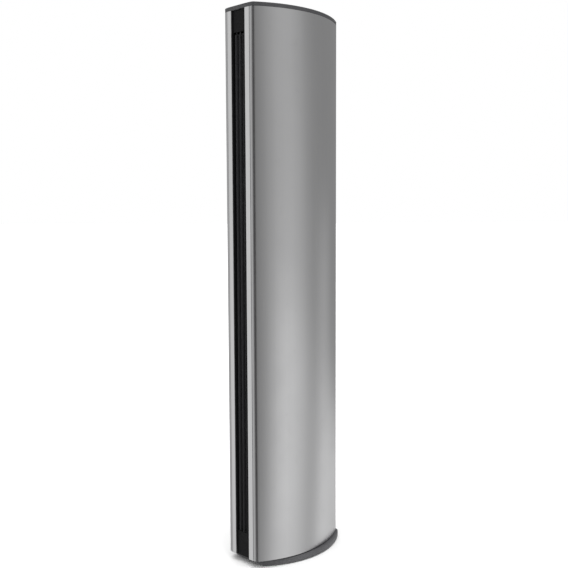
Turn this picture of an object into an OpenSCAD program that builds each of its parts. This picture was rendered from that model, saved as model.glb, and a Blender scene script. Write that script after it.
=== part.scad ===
// Tower fan: a tall lens-shaped column that swings on a flat base. A vertical cross-flow wheel
// draws air in through the rear grille and blows it out of the narrow slot in front.
// +Z is up and the air leaves towards -Y. The origin is on the floor, below the middle of the
// whole outline. Inside each module X and Y are measured from the axis that the column swings on.

/* [Column] */
// Height of the whole fan above the floor
fan_h = 1100; // [950:1:1320]
// Depth of the column from its outlet face to its intake face
column_d = 240; // [215:1:300]
// Width of the flat outlet and intake faces
face_w = 76; // [70:1:96]
// How far each curved side bows out beyond the faces
side_bow = 38; // [34:1:50]
// Thickness of the curved metal sides
side_t = 2; // [1.2:0.1:3]
// Thickness of the top cap's edge
cap_t = 8; // [7:0.5:14]
// Height of the room under the wheel for the motors
motor_room_h = 168; // [160:1:220]
// Height of the room above the wheel for the controls
head_room_h = 68; // [60:1:100]
// Thickness of the two bulkheads
bulkhead_t = 4; // [3:0.5:6]

/* [Base] */
// Height of the base, from the floor to its top
base_h = 14; // [13:0.5:24]
// Depth of the base
base_d = 228; // [190:1:290]
// Width of the flat ends of the base
base_face_w = 76; // [70:1:110]
// How far each curved side of the base bows out
base_bow = 42; // [34:1:60]
// How far the base sits behind the swing axis
base_setback = 13; // [0:1:24]
// Height of the rubber feet
foot_h = 2.5; // [2:0.5:5]
// Gap between the base and the column
column_gap = 2; // [1.5:0.1:5]
// Wall of the base cover
base_wall = 2.5; // [2:0.1:4]
// Thickness of the top of the base cover
base_top_t = 3; // [2:0.1:4]

/* [Outlet] */
// Width of the dark slot between the two bright trims
slot_w = 38; // [32:1:46]
// Thickness of the bright trims
trim_t = 1.6; // [1:0.1:2]
// Number of vanes is three; distance between their pivots
vane_pitch = 10.5; // [9:0.1:12]
// Depth of each vane
vane_chord = 11; // [8:0.1:12]
// Thickness of each vane
vane_t = 2.2; // [1.6:0.1:2.8]
// Thickness of the outlet frame's walls
frame_wall = 2; // [1.5:0.1:3]

/* [Wheel] */
// Diameter of the cross-flow wheel
wheel_d = 92; // [76:0.4:110.4]
// Distance of the wheel's axis behind the swing axis
wheel_y = 6; // [0:1:12]
// Number of blades
blade_count = 24; // [16:1:30]
// Diameter of the motor shaft
motor_shaft_d = 8; // [6:0.1:10]
// Diameter of the motor can
motor_d = 78; // [64:1:94]
// Height of the motor can
motor_h = 62; // [50:1:70]

/* [Swing drive] */
// Outer diameter of the post that the column turns on
post_d = 32; // [26:0.4:38.4]
// Module of the gear teeth
gear_module = 1.25; // [1:0.05:1.5]
// Teeth on the fixed gear
gear_teeth = 48; // [42:6:60]
// Teeth on the pinion
pinion_teeth = 18; // [17:1:24]

/* [Controls] */
// Diameter of each push button
button_d = 16; // [12:0.4:19.2]
// Distance between the push buttons
button_pitch = 24; // [22:0.5:28]
// How far a button travels
button_travel = 1; // [0.6:0.1:1.2]

/* [Hidden] */
$fn = 96;

// Clearances: between seated parts, in running fits and between parts that move past each other
seat_gap = 0.2;
running_gap = 0.06;
moving_gap = 0.4;
// Extra length of a cut past the face it starts from
cut = 1;

// Outlines
half_d = column_d / 2;
front_reach = half_d;
rear_reach = base_d / 2 + base_setback;
axis_y = (front_reach - rear_reach) / 2;
wide = 2 * (face_w + base_face_w + side_bow + base_bow);
cap_step = 1.2;

// Heights
column_z = base_h + column_gap;
cap_z = fan_h - cap_t;
low_bulk_z = column_z + motor_room_h;
high_bulk_z = cap_z - head_room_h;
duct_z = low_bulk_z + bulkhead_t;
duct_h = high_bulk_z - duct_z;
wheel_under = 12;
wheel_over = 8;
wheel_z = duct_z + wheel_under;
wheel_top = high_bulk_z - wheel_over;
deck_t = 4;
deck_top = column_z + deck_t;

// Base details
floor_t = 2;
floor_top = foot_h + floor_t;
cover_under = base_h - base_top_t;
gland_block = [30, 14];
gland_r = 4.4;
gland_bore_r = 3.2;
gland_flange = [5.3, 1.5];
gland_z = (foot_h + base_h) / 2;
foot_r = 9;
base_boss_r = 4.5;
base_screw_r = 1.6;
base_screw_head = [3.2, 1.6];
base_screw_l = 6;
base_screw_hole = 7;
weight_gap = 1;
weight_gland_room = 5;

// Swing post, gears and thrust ring
post_r = post_d / 2;
post_bore_r = post_r - 6;
post_flange_r = post_r + 12;
post_flange_t = 3;
post_screw_r = 2;
post_screw_head = [3.5, 2.2];
post_screw_grip = 1.6;
post_screw_ring = 7;
post_end = 12;
clip_w = 4;
hub_r = post_r + 6;
hub_top = column_z + 8;
gear_z = hub_top + moving_gap;
gear_w = 7;
clip_t = 1.6;
post_top = gear_z + gear_w + clip_t + post_end;
gear_pitch_r = gear_module * gear_teeth / 2;
pinion_pitch_r = gear_module * pinion_teeth / 2;
gear_centres = gear_pitch_r + pinion_pitch_r;
pressure_angle = 20;
tooth_backlash = 0.14;
tooth_addendum = 0.85;
tooth_dedendum = 1.25;
thrust_w = 14;
thrust_in_r = post_flange_r + 6;
pinion_shaft_r = 2.5;
swing_motor_r = 17.5;
swing_motor_h = 20;
swing_plate_gap = 3;
swing_plate_z = gear_z + gear_w + swing_plate_gap;
swing_plate_t = 2;
swing_plate = [68, 32];
swing_lug_x = 27;
swing_lug_r = 3.5;
pinion_shaft_l = 28;

// Pillars in both rooms
pillar_r = 5;
pillar_y = 75 * column_d / 240;
pillar_edge = 6;

// Wheel, motor and bearing
wheel_r = wheel_d / 2;
blade_depth = 8;
blade_t = 1;
blade_rim = 0.8;
blade_bend_r = 11;
blade_lean = 38;
blade_half_angle = 23;
wheel_disc_t = 3;
wheel_ring_t = 2;
wheel_rings = 5;
ring_reach = 4;
hub_hole_gap = 2;
pin_end = 2;
shaft_tail = 4;
rotor_inset = 2;
hub_rubber_r = 9;
hub_socket_r = 13;
hub_l = 14;
wheel_pin_r = 3;
pin_boss = [8, 12];
motor_r = motor_d / 2;
motor_wall = 2;
motor_end_t = 4;
motor_flange = [11, 3];
motor_lug_inset = 5;
grommet_h = 8;
motor_top = low_bulk_z - grommet_h;
motor_z = motor_top - motor_h;
motor_shaft_r = motor_shaft_d / 2;
motor_screw_r = 2;
motor_screw_head = [4.5, 3];
grommet_r = 4;
collar_r = 8;
stator_t = 9;
air_gap = 0.5;
rotor_margin = 9;
bearing_r = 7;
bearing_rubber_r = 13;
bearing_h = 10;
bearing_z = high_bulk_z + bulkhead_t / 2 - bearing_h / 2;

// Scroll and cut-off
duct_wall = 2;
scroll_shift = 6;
scroll_toward = 230;
scroll_gap = 11;
scroll_from = 100;
scroll_to = 215;
scroll_r = wheel_r + scroll_gap;
scroll_c = [0, wheel_y] + scroll_shift * [cos(scroll_toward), sin(scroll_toward)];
cutoff_gap = 4.5;
cutoff_tip_r = 3;
cutoff_angle = -52;
baffle_drop = 14;
scroll_overlap = 2;
sector_shoulder = 20;
cutoff_c = [0, wheel_y] + (wheel_r + cutoff_gap + cutoff_tip_r) * [cos(cutoff_angle), sin(cutoff_angle)];

// Outlet
frame_out = slot_w / 2 - seat_gap;
frame_in = frame_out - frame_wall;
frame_front = -half_d + 1;
block_front = -half_d + 3;
vane_inset = 2.5;
vane_y = -half_d + vane_inset + vane_chord / 2;
web_t = 2;
web_gap = 4.5;
web_back = vane_y + vane_chord / 2 + web_gap;
duct_reach = 24;
frame_back = web_back + duct_reach;
vane_lift = 50;
vane_drop = 46;
vane_z = column_z + vane_lift;
vane_top = cap_z - vane_drop;
vane_pin_r = 1.5;
vane_pin_l = 6;
crank_y = 4.4;
crank_r = 1.2;
crank_t = 2;
crank_w = 3.4;
link_lift = 0.6;
link_t = 2.4;
link_half_w = 1.9;
trim_return = 12;
side_lip = 6;
trim_gap = 0.6;
guard_bar = 1.6;
guard_depth = 4;
guard_pitch = 12;
guard_gap = 4;
guard_y = web_back + guard_gap;

// Intake grille
grille_t = 2;
grille_cols = 7;
grille_rows = 11;
grille_slot_w = 6;
grille_rib = 3;
grille_tie = 8;
grille_screw_r = 1.6;
grille_screw_head = [3, 1.4];
grille_screw_l = 8;
grille_screw_inset = 4;
grille_screw_end = 20;

// Controls
panel_r = 14;
panel_l = 140;
panel_t = 2;
panel_drop = 1;
panel_z = fan_h - panel_drop - panel_t;
button_gap = 0.2;
button_r = button_d / 2;
button_flange = [1.2, 1.3];
pocket_spare = 0.7;
pocket_floor = panel_z - button_flange[1] - button_travel - pocket_spare;
button_stem_r = 2;
button_proud = 0.8;
board_t = 1.6;
switch_h = 4;
switch_stem = [1.7, 1.6];
switch_w = 6;
board_drop = 12;
board_z = cap_z - board_drop;
stem_end = board_z + board_t + switch_h + switch_stem[1] + button_travel + seat_gap;
board_size = [60, 126];
standoff = [25, 55];
standoff_r = 3;
standoff_inset = 5;
plug_h = 8;
plug_wall = 3;
lamp_pitch = 5;
lamp_r = 1.5;
window = [5, 12];
power_board_size = [76, 52];
power_board_gap = 22;
power_board_lift = 9;
power_board_posts = power_board_size / 2 - [standoff_inset, standoff_inset];
power_board_y = -(hub_r + power_board_gap + power_board_size[1] / 2);
power_board_z = deck_top + power_board_lift;
cap_size = [40, 18, 32];
cap_gap = 6;
transformer = [24, 22, 18];
terminal_block = [40, 8, 10];
large_can = [6, 20];
small_can = [5, 14];

// Radius of an arc that spans 2 * half with the given bow
function arc_r(half, bow) = (half * half + bow * bow) / (2 * bow);
// Half width of the column at a distance y from its middle, inside a wall of the given inset
function side_x(y, inset) =
  let (r = arc_r(half_d, side_bow))
  face_w / 2 + side_bow - r + sqrt(pow(r - inset, 2) - y * y);
// A point on a circle
function polar(r, a) = [r * cos(a), r * sin(a)];
// Angle between the involute's start and its point at radius r, in degrees
function involute_angle(base_r, r) = tan(acos(min(1, base_r / r))) * 180 / PI - acos(min(1, base_r / r));
// Outline of one tooth that points along +X
function tooth_points(teeth) =
  let (
    pitch_r = gear_module * teeth / 2,
    base_r = pitch_r * cos(pressure_angle),
    root_r = pitch_r - tooth_dedendum * gear_module,
    tip_r = pitch_r + tooth_addendum * gear_module,
    low_r = max(base_r, root_r),
    half = 90 / teeth + involute_angle(base_r, pitch_r) - tooth_backlash / pitch_r * 90 / PI,
    steps = 5,
    radii = [for (i = [0 : steps]) low_r + (tip_r - low_r) * i / steps]
  )
  concat(
    [polar(root_r, -half)],
    [for (r = radii) polar(r, -half + involute_angle(base_r, r))],
    [for (i = [steps : -1 : 0]) polar(radii[i], half - involute_angle(base_r, radii[i]))],
    [polar(root_r, half)]
  );
function turned(p, a) = [p[0] * cos(a) - p[1] * sin(a), p[0] * sin(a) + p[1] * cos(a)];
function gear_points(teeth) =
  [for (k = [0 : teeth - 1]) for (p = tooth_points(teeth)) turned(p, k * 360 / teeth)];

pillar_x = side_x(pillar_y, side_t) - pillar_r - pillar_edge;
trim_out = face_w / 2 - side_lip - trim_gap;
grille_half = side_x(half_d, side_t) - seat_gap;
foot_y = base_d * 0.34;
foot_x = base_face_w * 0.57;
mid_foot_x = (base_face_w / 2 + base_bow) * 0.78;
feet_points = [for (s = [-1, 1]) for (p = [[foot_x, -foot_y], [mid_foot_x, 0], [foot_x, foot_y]])
  [s * p[0], p[1] + base_setback]];
base_screw_points = [for (s = [-1, 1]) for (y = [-0.42, -0.19, 0.19, 0.42])
  [s * (base_face_w / 2 + base_bow * (1 - 4 * y * y) - 14), y * base_d + base_setback]];
post_screw_points = [for (k = [0 : 3]) polar(post_r + post_screw_ring, 45 + 90 * k)];
motor_lug_points = [for (k = [0 : 2])
  [0, wheel_y] + polar(motor_r + motor_flange[0] - motor_lug_inset, 30 + 120 * k)];
pillar_points = [for (sx = [-1, 1]) for (sy = [-1, 1]) [sx * pillar_x, sy * pillar_y]];
button_ys = [for (k = [-2 : 1]) k * button_pitch];
window_y = 2 * button_pitch;
grille_screw_zs = [column_z + grille_screw_end, (duct_z + high_bulk_z) / 2, cap_z - grille_screw_end];
grille_screw_x = grille_half - grille_screw_inset;

module from_axis() { translate([0, axis_y, 0]) children(); }
module slab(z, h) { translate([0, 0, z]) linear_extrude(height = h) children(); }
module rod(z, h, r) { translate([0, 0, z]) cylinder(h = h, r = r); }
module at_each(points) { for (p = points) translate(p) children(); }
module tube(z, h, outer, inner) {
  difference() {
    rod(z, h, outer);
    rod(z - cut, h + 2 * cut, inner);
  }
}

// Lens with flat ends: the outline of the column and of the base
module lens(depth, flat, bow, inset) {
  r = arc_r(depth / 2, bow);
  intersection() {
    translate([flat / 2 + bow - r, 0]) circle(r = r - inset);
    translate([r - flat / 2 - bow, 0]) circle(r = r - inset);
    square([wide, depth - 2 * inset], center = true);
  }
}
module column_outline(inset = 0) { lens(column_d, face_w, side_bow, inset); }
module base_outline(inset = 0) { translate([0, base_setback]) lens(base_d, base_face_w, base_bow, inset); }

// What fits inside the two curved sides, behind the outlet frame and ahead of the grille
module inner_outline() {
  notch_half = slot_w / 2 + trim_t + seat_gap;
  difference() {
    intersection() {
      column_outline(side_t + seat_gap);
      square([wide, column_d - 2 * (grille_t + seat_gap)], center = true);
    }
    translate([-notch_half, -half_d]) square([2 * notch_half, half_d + web_back + seat_gap]);
  }
}

// Straight wall between two points, with square ends
module wall_between(p, q, t) {
  translate(p) rotate(atan2(q[1] - p[1], q[0] - p[0])) translate([0, -t / 2]) square([norm(q - p), t]);
}
// The same wall with round ends
module round_bar(p, q, t) {
  translate(p) circle(d = t);
  translate(q) circle(d = t);
  wall_between(p, q, t);
}
module pill(r, l) {
  for (s = [-1, 1]) translate([0, s * (l / 2 - r)]) circle(r = r);
  square([2 * r, l - 2 * r], center = true);
}

// ---- Base ----
module gland_seat(gap) {
  translate([-gland_block[0] / 2 - gap, rear_reach - gland_block[1] - gap])
    square([gland_block[0] + 2 * gap, gland_block[1] + gap + cut]);
}

module base_cover() {
  color("dimgray") from_axis() difference() {
    union() {
      slab(foot_h, base_h - foot_h - cap_step) base_outline();
      slab(base_h - cap_step - cut, cap_step + cut) base_outline(cap_step);
    }
    slab(foot_h - cut, floor_t + cut) difference() {
      base_outline(base_wall);
      gland_seat(0);
    }
    slab(floor_top - cut, cover_under - floor_top + cut) difference() {
      base_outline(base_wall);
      gland_seat(0);
      at_each(base_screw_points) circle(r = base_boss_r);
    }
    at_each(base_screw_points) rod(foot_h, base_screw_hole, base_screw_r);
    rod(foot_h, base_h, post_r + seat_gap);
    at_each(post_screw_points) rod(cover_under - cut, post_screw_grip + seat_gap + cut, post_screw_r);
    translate([0, rear_reach + cut, gland_z]) rotate([90, 0, 0])
      cylinder(h = gland_block[1] + 2 * cut, r = gland_r);
    translate([0, rear_reach + cut, gland_z]) rotate([90, 0, 0])
      cylinder(h = gland_flange[1] + cut, r = gland_flange[0]);
  }
}

module base_floor() {
  color("black") from_axis() slab(foot_h, floor_t) difference() {
    base_outline(base_wall + seat_gap);
    gland_seat(seat_gap);
    at_each(base_screw_points) circle(r = base_screw_r + seat_gap);
  }
}

module base_weight() {
  color("slategray") from_axis() slab(floor_top, cover_under - floor_top - seat_gap) difference() {
    base_outline(base_wall + weight_gap);
    gland_seat(weight_gland_room);
    at_each(base_screw_points) circle(r = base_boss_r + weight_gap);
    circle(r = post_flange_r + weight_gap);
  }
}

module base_feet() {
  color("black") from_axis() at_each(feet_points) rod(0, foot_h, foot_r);
}

module base_screws() {
  color("silver") from_axis() at_each(base_screw_points) {
    rod(foot_h - base_screw_head[1], base_screw_head[1], base_screw_head[0]);
    rod(foot_h - cut / 2, base_screw_l, base_screw_r);
  }
}

module cord_gland() {
  color("black") from_axis() translate([0, rear_reach, gland_z]) rotate([90, 0, 0]) difference() {
    union() {
      cylinder(h = gland_block[1], r = gland_r);
      cylinder(h = gland_flange[1], r = gland_flange[0]);
    }
    translate([0, 0, -cut]) cylinder(h = gland_block[1] + 2 * cut, r = gland_bore_r);
  }
}

// ---- Swing post and drive ----
module swing_post() {
  flange_z = cover_under - post_flange_t;
  color("gray") from_axis() difference() {
    union() {
      rod(flange_z, post_flange_t, post_flange_r);
      rod(flange_z, post_top - flange_z, post_r);
    }
    rod(flange_z - cut, post_top - flange_z + 2 * cut, post_bore_r);
    at_each(post_screw_points) rod(flange_z - cut, post_flange_t + 2 * cut, post_screw_r + seat_gap);
  }
}

module post_screws() {
  flange_z = cover_under - post_flange_t;
  color("silver") from_axis() at_each(post_screw_points) {
    rod(flange_z - post_screw_head[1], post_screw_head[1], post_screw_head[0]);
    rod(flange_z - cut / 2, post_flange_t + cut / 2 + post_screw_grip, post_screw_r);
  }
}

module swing_gear() {
  color("ivory") from_axis() slab(gear_z, gear_w) difference() {
    polygon(gear_points(gear_teeth));
    circle(r = post_r);
  }
}

module gear_clip() {
  color("silver") from_axis() tube(gear_z + gear_w, clip_t, post_r + clip_w, post_r);
}

module thrust_ring() {
  color("ivory") from_axis()
    tube(base_h, column_gap - running_gap, thrust_in_r + thrust_w, thrust_in_r);
}

module swing_pinion() {
  color("ivory") from_axis() translate([0, gear_centres]) slab(gear_z, gear_w) difference() {
    polygon(gear_points(pinion_teeth));
    circle(r = pinion_shaft_r);
  }
}

module pinion_shaft() {
  color("silver") from_axis() translate([0, gear_centres]) rod(gear_z, pinion_shaft_l, pinion_shaft_r);
}

module swing_motor() {
  bottom = swing_plate_z + swing_plate_t;
  color("silver") from_axis() translate([0, gear_centres])
    tube(bottom, swing_motor_h, swing_motor_r, pinion_shaft_r + running_gap);
}

module swing_motor_plate() {
  color("gray") from_axis() translate([0, gear_centres]) difference() {
    union() {
      slab(swing_plate_z, swing_plate_t) square(swing_plate, center = true);
      for (s = [-1, 1]) translate([s * swing_lug_x, 0])
        rod(deck_top, swing_plate_z - deck_top + cut, swing_lug_r);
    }
    rod(swing_plate_z - cut, swing_plate_t + 2 * cut, pinion_shaft_r + moving_gap);
  }
}

// ---- Column structure ----
module turntable() {
  color("dimgray") from_axis() difference() {
    union() {
      slab(column_z, deck_t) inner_outline();
      rod(column_z, hub_top - column_z, hub_r);
      translate([0, power_board_y]) for (sx = [-1, 1]) for (sy = [-1, 1])
        translate([sx * power_board_posts[0], sy * power_board_posts[1]])
          rod(deck_top - cut, power_board_z - deck_top + cut, standoff_r);
    }
    rod(column_z - cut, hub_top - column_z + 2 * cut, post_r + running_gap);
  }
}

module deck_pillars() {
  color("silver") from_axis() at_each(pillar_points) rod(deck_top, low_bulk_z - deck_top, pillar_r);
}

module curved_side(s) {
  slab(column_z, cap_z - column_z) {
    intersection() {
      difference() {
        column_outline();
        column_outline_inner();
      }
      translate([s > 0 ? 0 : -wide, -column_d]) square([wide, 2 * column_d]);
    }
    translate([s > 0 ? face_w / 2 - side_lip : -face_w / 2, -half_d]) square([side_lip, side_t]);
  }
}
// Space between the two curved sides, open towards both flat faces
module column_outline_inner() {
  r = arc_r(half_d, side_bow);
  intersection() {
    translate([face_w / 2 + side_bow - r, 0]) circle(r = r - side_t);
    translate([r - face_w / 2 - side_bow, 0]) circle(r = r - side_t);
  }
}
module right_side() { color("silver") from_axis() curved_side(1); }
module left_side() { color("silver") from_axis() curved_side(-1); }

module trim() {
  slab(column_z, cap_z - column_z) {
    translate([slot_w / 2, -half_d]) square([trim_out - slot_w / 2, trim_t]);
    translate([slot_w / 2, -half_d]) square([trim_t, trim_return]);
  }
}
module right_trim() { color("gainsboro") from_axis() trim(); }
module left_trim() { color("gainsboro") from_axis() mirror([1, 0, 0]) trim(); }

module intake_grille() {
  row_h = (duct_h - grille_tie) / grille_rows;
  pitch = grille_slot_w + grille_rib;
  color("black") from_axis() translate([0, half_d, 0]) rotate([90, 0, 0]) linear_extrude(height = grille_t)
    difference() {
      translate([-grille_half, column_z]) square([2 * grille_half, cap_z - column_z]);
      for (c = [0 : grille_cols - 1]) for (r = [0 : grille_rows - 1])
        translate([(c - (grille_cols - 1) / 2) * pitch - grille_slot_w / 2, duct_z + grille_tie + r * row_h])
          square([grille_slot_w, row_h - grille_tie]);
      for (z = grille_screw_zs) for (s = [-1, 1]) translate([s * grille_screw_x, z]) circle(r = grille_screw_r);
    }
}

module grille_screws() {
  color("dimgray") from_axis() for (z = grille_screw_zs) for (s = [-1, 1])
    translate([s * grille_screw_x, half_d, z]) rotate([90, 0, 0]) {
      cylinder(h = grille_screw_l, r = grille_screw_r);
      translate([0, 0, grille_t]) cylinder(h = grille_screw_head[1], r = grille_screw_head[0]);
    }
}

module lower_bulkhead() {
  color("dimgray") from_axis() slab(low_bulk_z, bulkhead_t) difference() {
    inner_outline();
    translate([0, wheel_y]) circle(r = hub_socket_r + hub_hole_gap);
    at_each(motor_lug_points) circle(r = motor_screw_r);
  }
}

module upper_bulkhead() {
  color("dimgray") from_axis() slab(high_bulk_z, bulkhead_t) difference() {
    inner_outline();
    translate([0, wheel_y]) circle(r = bearing_rubber_r);
  }
}

// ---- Air path ----
module scroll_wall() {
  inner_start = scroll_c + polar(scroll_r, scroll_to - scroll_overlap);
  outer_start = scroll_c + polar(scroll_r + duct_wall, scroll_to - scroll_overlap);
  sector = 2 * scroll_r;
  color("dimgray") from_axis() slab(duct_z, duct_h) {
    intersection() {
      translate(scroll_c) difference() {
        circle(r = scroll_r + duct_wall);
        circle(r = scroll_r);
      }
      translate(scroll_c) polygon([
        [0, 0], polar(sector, scroll_from), polar(sector, (scroll_from + scroll_to) / 2 - sector_shoulder),
        polar(sector, (scroll_from + scroll_to) / 2 + sector_shoulder), polar(sector, scroll_to)
      ]);
    }
    polygon([
      inner_start, outer_start,
      [-frame_out, frame_back + seat_gap], [-frame_in, frame_back + seat_gap]
    ]);
  }
}

module cutoff_wall() {
  baffle_y = cutoff_c[1] - baffle_drop;
  baffle_end = [side_x(baffle_y, side_t) - duct_wall, baffle_y];
  outlet_end = [frame_out - duct_wall / 2, frame_back + duct_wall / 2 + seat_gap];
  color("dimgray") from_axis() slab(duct_z, duct_h) {
    translate(cutoff_c) circle(r = cutoff_tip_r);
    wall_between(cutoff_c, outlet_end, duct_wall);
    wall_between(cutoff_c, baffle_end, duct_wall);
  }
}

module outlet_frame() {
  link_room = link_t + crank_t / 2 + link_lift;
  color([0.06, 0.06, 0.06]) from_axis() difference() {
    union() {
      for (s = [0, 1]) mirror([s, 0, 0]) {
        slab(column_z, cap_z - column_z)
          translate([frame_in, frame_front]) square([frame_wall, web_back - frame_front]);
        slab(duct_z, duct_h)
          translate([frame_in, web_back - web_t]) square([frame_wall, frame_back - web_back + web_t]);
      }
      for (span = [[column_z, duct_z], [high_bulk_z, cap_z]])
        slab(span[0], span[1] - span[0])
          translate([-frame_in - cut, web_back - web_t]) square([2 * frame_in + 2 * cut, web_t]);
      for (span = [[column_z, vane_z - seat_gap], [vane_top + link_room, cap_z]])
        slab(span[0], span[1] - span[0])
          translate([-frame_in - cut, block_front])
            square([2 * frame_in + 2 * cut, web_back - block_front - web_t / 2]);
    }
    for (k = [-1 : 1]) translate([k * vane_pitch, vane_y]) {
      rod(vane_z - vane_pin_l - 1, vane_pin_l + 1, vane_pin_r + running_gap);
      rod(vane_top, link_room + vane_pin_l + 1, vane_pin_r + running_gap);
    }
  }
}

module outlet_guard() {
  half = frame_in - seat_gap;
  bars = floor((duct_h - 2 * guard_pitch) / guard_pitch);
  color([0.08, 0.08, 0.08]) from_axis() translate([0, guard_y, 0]) {
    for (x = [-half, -guard_bar / 2, half - guard_bar])
      translate([x, 0, duct_z]) cube([guard_bar, guard_depth, duct_h]);
    for (k = [0 : bars])
      translate([-half + guard_bar / 2, 0, duct_z + guard_pitch * (k + 1) - guard_bar / 2])
        cube([2 * half - guard_bar, guard_depth - 1, guard_bar]);
  }
}

module vane(x) {
  half_c = vane_chord / 2;
  r = arc_r(half_c, vane_t / 2);
  color([0.1, 0.1, 0.1]) from_axis() translate([x, vane_y, 0]) {
    slab(vane_z, vane_top - vane_z) intersection() {
      translate([r - vane_t / 2, 0]) circle(r = r);
      translate([vane_t / 2 - r, 0]) circle(r = r);
    }
    rod(vane_z - vane_pin_l, vane_pin_l + cut, vane_pin_r);
    rod(vane_top - cut, vane_pin_l + link_t + crank_t + cut, vane_pin_r);
    slab(vane_top - crank_t, crank_t) round_bar([0, 0], [0, crank_y], crank_w);
    translate([0, crank_y]) rod(vane_top - cut, link_t + cut + seat_gap, crank_r);
  }
}
module left_vane() { vane(-vane_pitch); }
module middle_vane() { vane(0); }
module right_vane() { vane(vane_pitch); }

module vane_link() {
  color([0.2, 0.2, 0.2]) from_axis() translate([0, vane_y + crank_y, 0])
    slab(vane_top + seat_gap / 2, link_t - seat_gap) difference() {
      round_bar([-vane_pitch, 0], [vane_pitch, 0], 2 * link_half_w);
      for (k = [-1 : 1]) translate([k * vane_pitch, 0]) circle(r = crank_r + running_gap);
    }
}

// ---- Wheel, motor and bearing ----
module blade() {
  mid_r = wheel_r - blade_rim - blade_depth / 2;
  translate([mid_r, 0]) rotate(-blade_lean) translate([0, -blade_bend_r]) intersection() {
    difference() {
      circle(r = blade_bend_r + blade_t / 2);
      circle(r = blade_bend_r - blade_t / 2);
    }
    polygon([
      [0, 0], polar(2 * blade_bend_r, 90 - blade_half_angle), polar(2 * blade_bend_r, 90 + blade_half_angle)
    ]);
  }
}

module fan_wheel() {
  ring_step = (wheel_top - wheel_z) / (wheel_rings + 1);
  color([0.15, 0.15, 0.15]) from_axis() translate([0, wheel_y, 0]) difference() {
    union() {
      slab(wheel_z + wheel_disc_t / 2, wheel_top - wheel_z - wheel_disc_t)
        for (k = [0 : blade_count - 1]) rotate(k * 360 / blade_count) blade();
      rod(wheel_z, wheel_disc_t, wheel_r);
      rod(wheel_z, hub_l, hub_socket_r);
      rod(wheel_top - wheel_disc_t, wheel_disc_t, wheel_r);
      rod(wheel_top - pin_boss[1], pin_boss[1], pin_boss[0]);
      for (k = [1 : wheel_rings])
        tube(wheel_z + k * ring_step, wheel_ring_t, wheel_r, wheel_r - blade_depth - ring_reach);
    }
    rod(wheel_z - cut, hub_l + 2 * cut, hub_rubber_r);
    rod(wheel_top - pin_boss[1] - cut, pin_boss[1] + 2 * cut, wheel_pin_r);
  }
}

module wheel_hub() {
  color("black") from_axis() translate([0, wheel_y, 0]) tube(wheel_z, hub_l, hub_rubber_r, motor_shaft_r);
}

module wheel_pin() {
  color("silver") from_axis() translate([0, wheel_y, 0])
    rod(wheel_top - pin_boss[1], bearing_z + bearing_h + pin_end - wheel_top + pin_boss[1], wheel_pin_r);
}

module motor_shaft() {
  color("silver") from_axis() translate([0, wheel_y, 0])
    rod(motor_z - shaft_tail, wheel_z + hub_l - motor_z + shaft_tail, motor_shaft_r);
}

module motor_can() {
  color("silver") from_axis() difference() {
    translate([0, wheel_y, 0]) union() {
      rod(motor_z, motor_h, motor_r);
      rod(motor_top - motor_flange[1], motor_flange[1], motor_r + motor_flange[0]);
    }
    translate([0, wheel_y, 0]) {
      rod(motor_z + motor_end_t, motor_h - 2 * motor_end_t, motor_r - motor_wall);
      rod(motor_z - cut, motor_h + 2 * cut, motor_shaft_r + running_gap);
    }
    at_each(motor_lug_points) rod(motor_top - motor_flange[1] - cut, motor_flange[1] + 2 * cut, grommet_r);
  }
}

module motor_stator() {
  color("darkred") from_axis() translate([0, wheel_y, 0])
    tube(motor_z + rotor_margin, motor_h - 2 * rotor_margin,
      motor_r - motor_wall, motor_r - motor_wall - stator_t);
}

module motor_rotor() {
  color("silver") from_axis() translate([0, wheel_y, 0])
    tube(motor_z + rotor_margin + rotor_inset, motor_h - 2 * (rotor_margin + rotor_inset),
      motor_r - motor_wall - stator_t - air_gap, motor_shaft_r);
}

module motor_grommets() {
  color("black") from_axis() at_each(motor_lug_points) difference() {
    union() {
      rod(motor_top - motor_flange[1], motor_flange[1] + cut, grommet_r);
      rod(motor_top, grommet_h, collar_r);
    }
    rod(motor_top - motor_flange[1] - cut, motor_flange[1] + grommet_h + 2 * cut, motor_screw_r);
  }
}

module motor_screws() {
  under = motor_top - motor_flange[1];
  color("silver") from_axis() at_each(motor_lug_points) {
    rod(under - motor_screw_head[1], motor_screw_head[1], motor_screw_head[0]);
    rod(under - cut, low_bulk_z + bulkhead_t - under + cut, motor_screw_r);
  }
}

module bearing_rubber() {
  color("black") from_axis() translate([0, wheel_y, 0]) tube(bearing_z, bearing_h, bearing_rubber_r, bearing_r);
}

module top_bearing() {
  color("goldenrod") from_axis() translate([0, wheel_y, 0])
    tube(bearing_z, bearing_h, bearing_r, wheel_pin_r + running_gap);
}

// ---- Electrics ----
module power_board() {
  color("darkgreen") from_axis() translate([0, power_board_y, 0])
    slab(power_board_z, board_t) square(power_board_size, center = true);
}

module power_parts() {
  top = power_board_z + board_t;
  color("goldenrod") from_axis() translate([0, power_board_y, top]) {
    translate([-24, -14, 0]) cube(transformer);
    translate([12, -8, 0]) cylinder(h = large_can[1], r = large_can[0]);
    translate([26, 8, 0]) cylinder(h = small_can[1], r = small_can[0]);
    translate([-30, 14, 0]) cube(terminal_block);
  }
}

module run_capacitor() {
  color("ivory") from_axis()
    translate([-cap_size[0] / 2, gear_centres + swing_plate[1] / 2 + cap_gap, deck_top]) cube(cap_size);
}

module control_board() {
  color("darkgreen") from_axis() slab(board_z, board_t) difference() {
    square(board_size, center = true);
    translate([0, wheel_y]) circle(r = wheel_pin_r + 4);
  }
}

module tact_switches() {
  color("black") from_axis() for (y = button_ys) translate([0, y, board_z + board_t]) {
    translate([-switch_w / 2, -switch_w / 2, 0]) cube([switch_w, switch_w, switch_h]);
    cylinder(h = switch_h + switch_stem[1], r = switch_stem[0]);
  }
}

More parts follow.
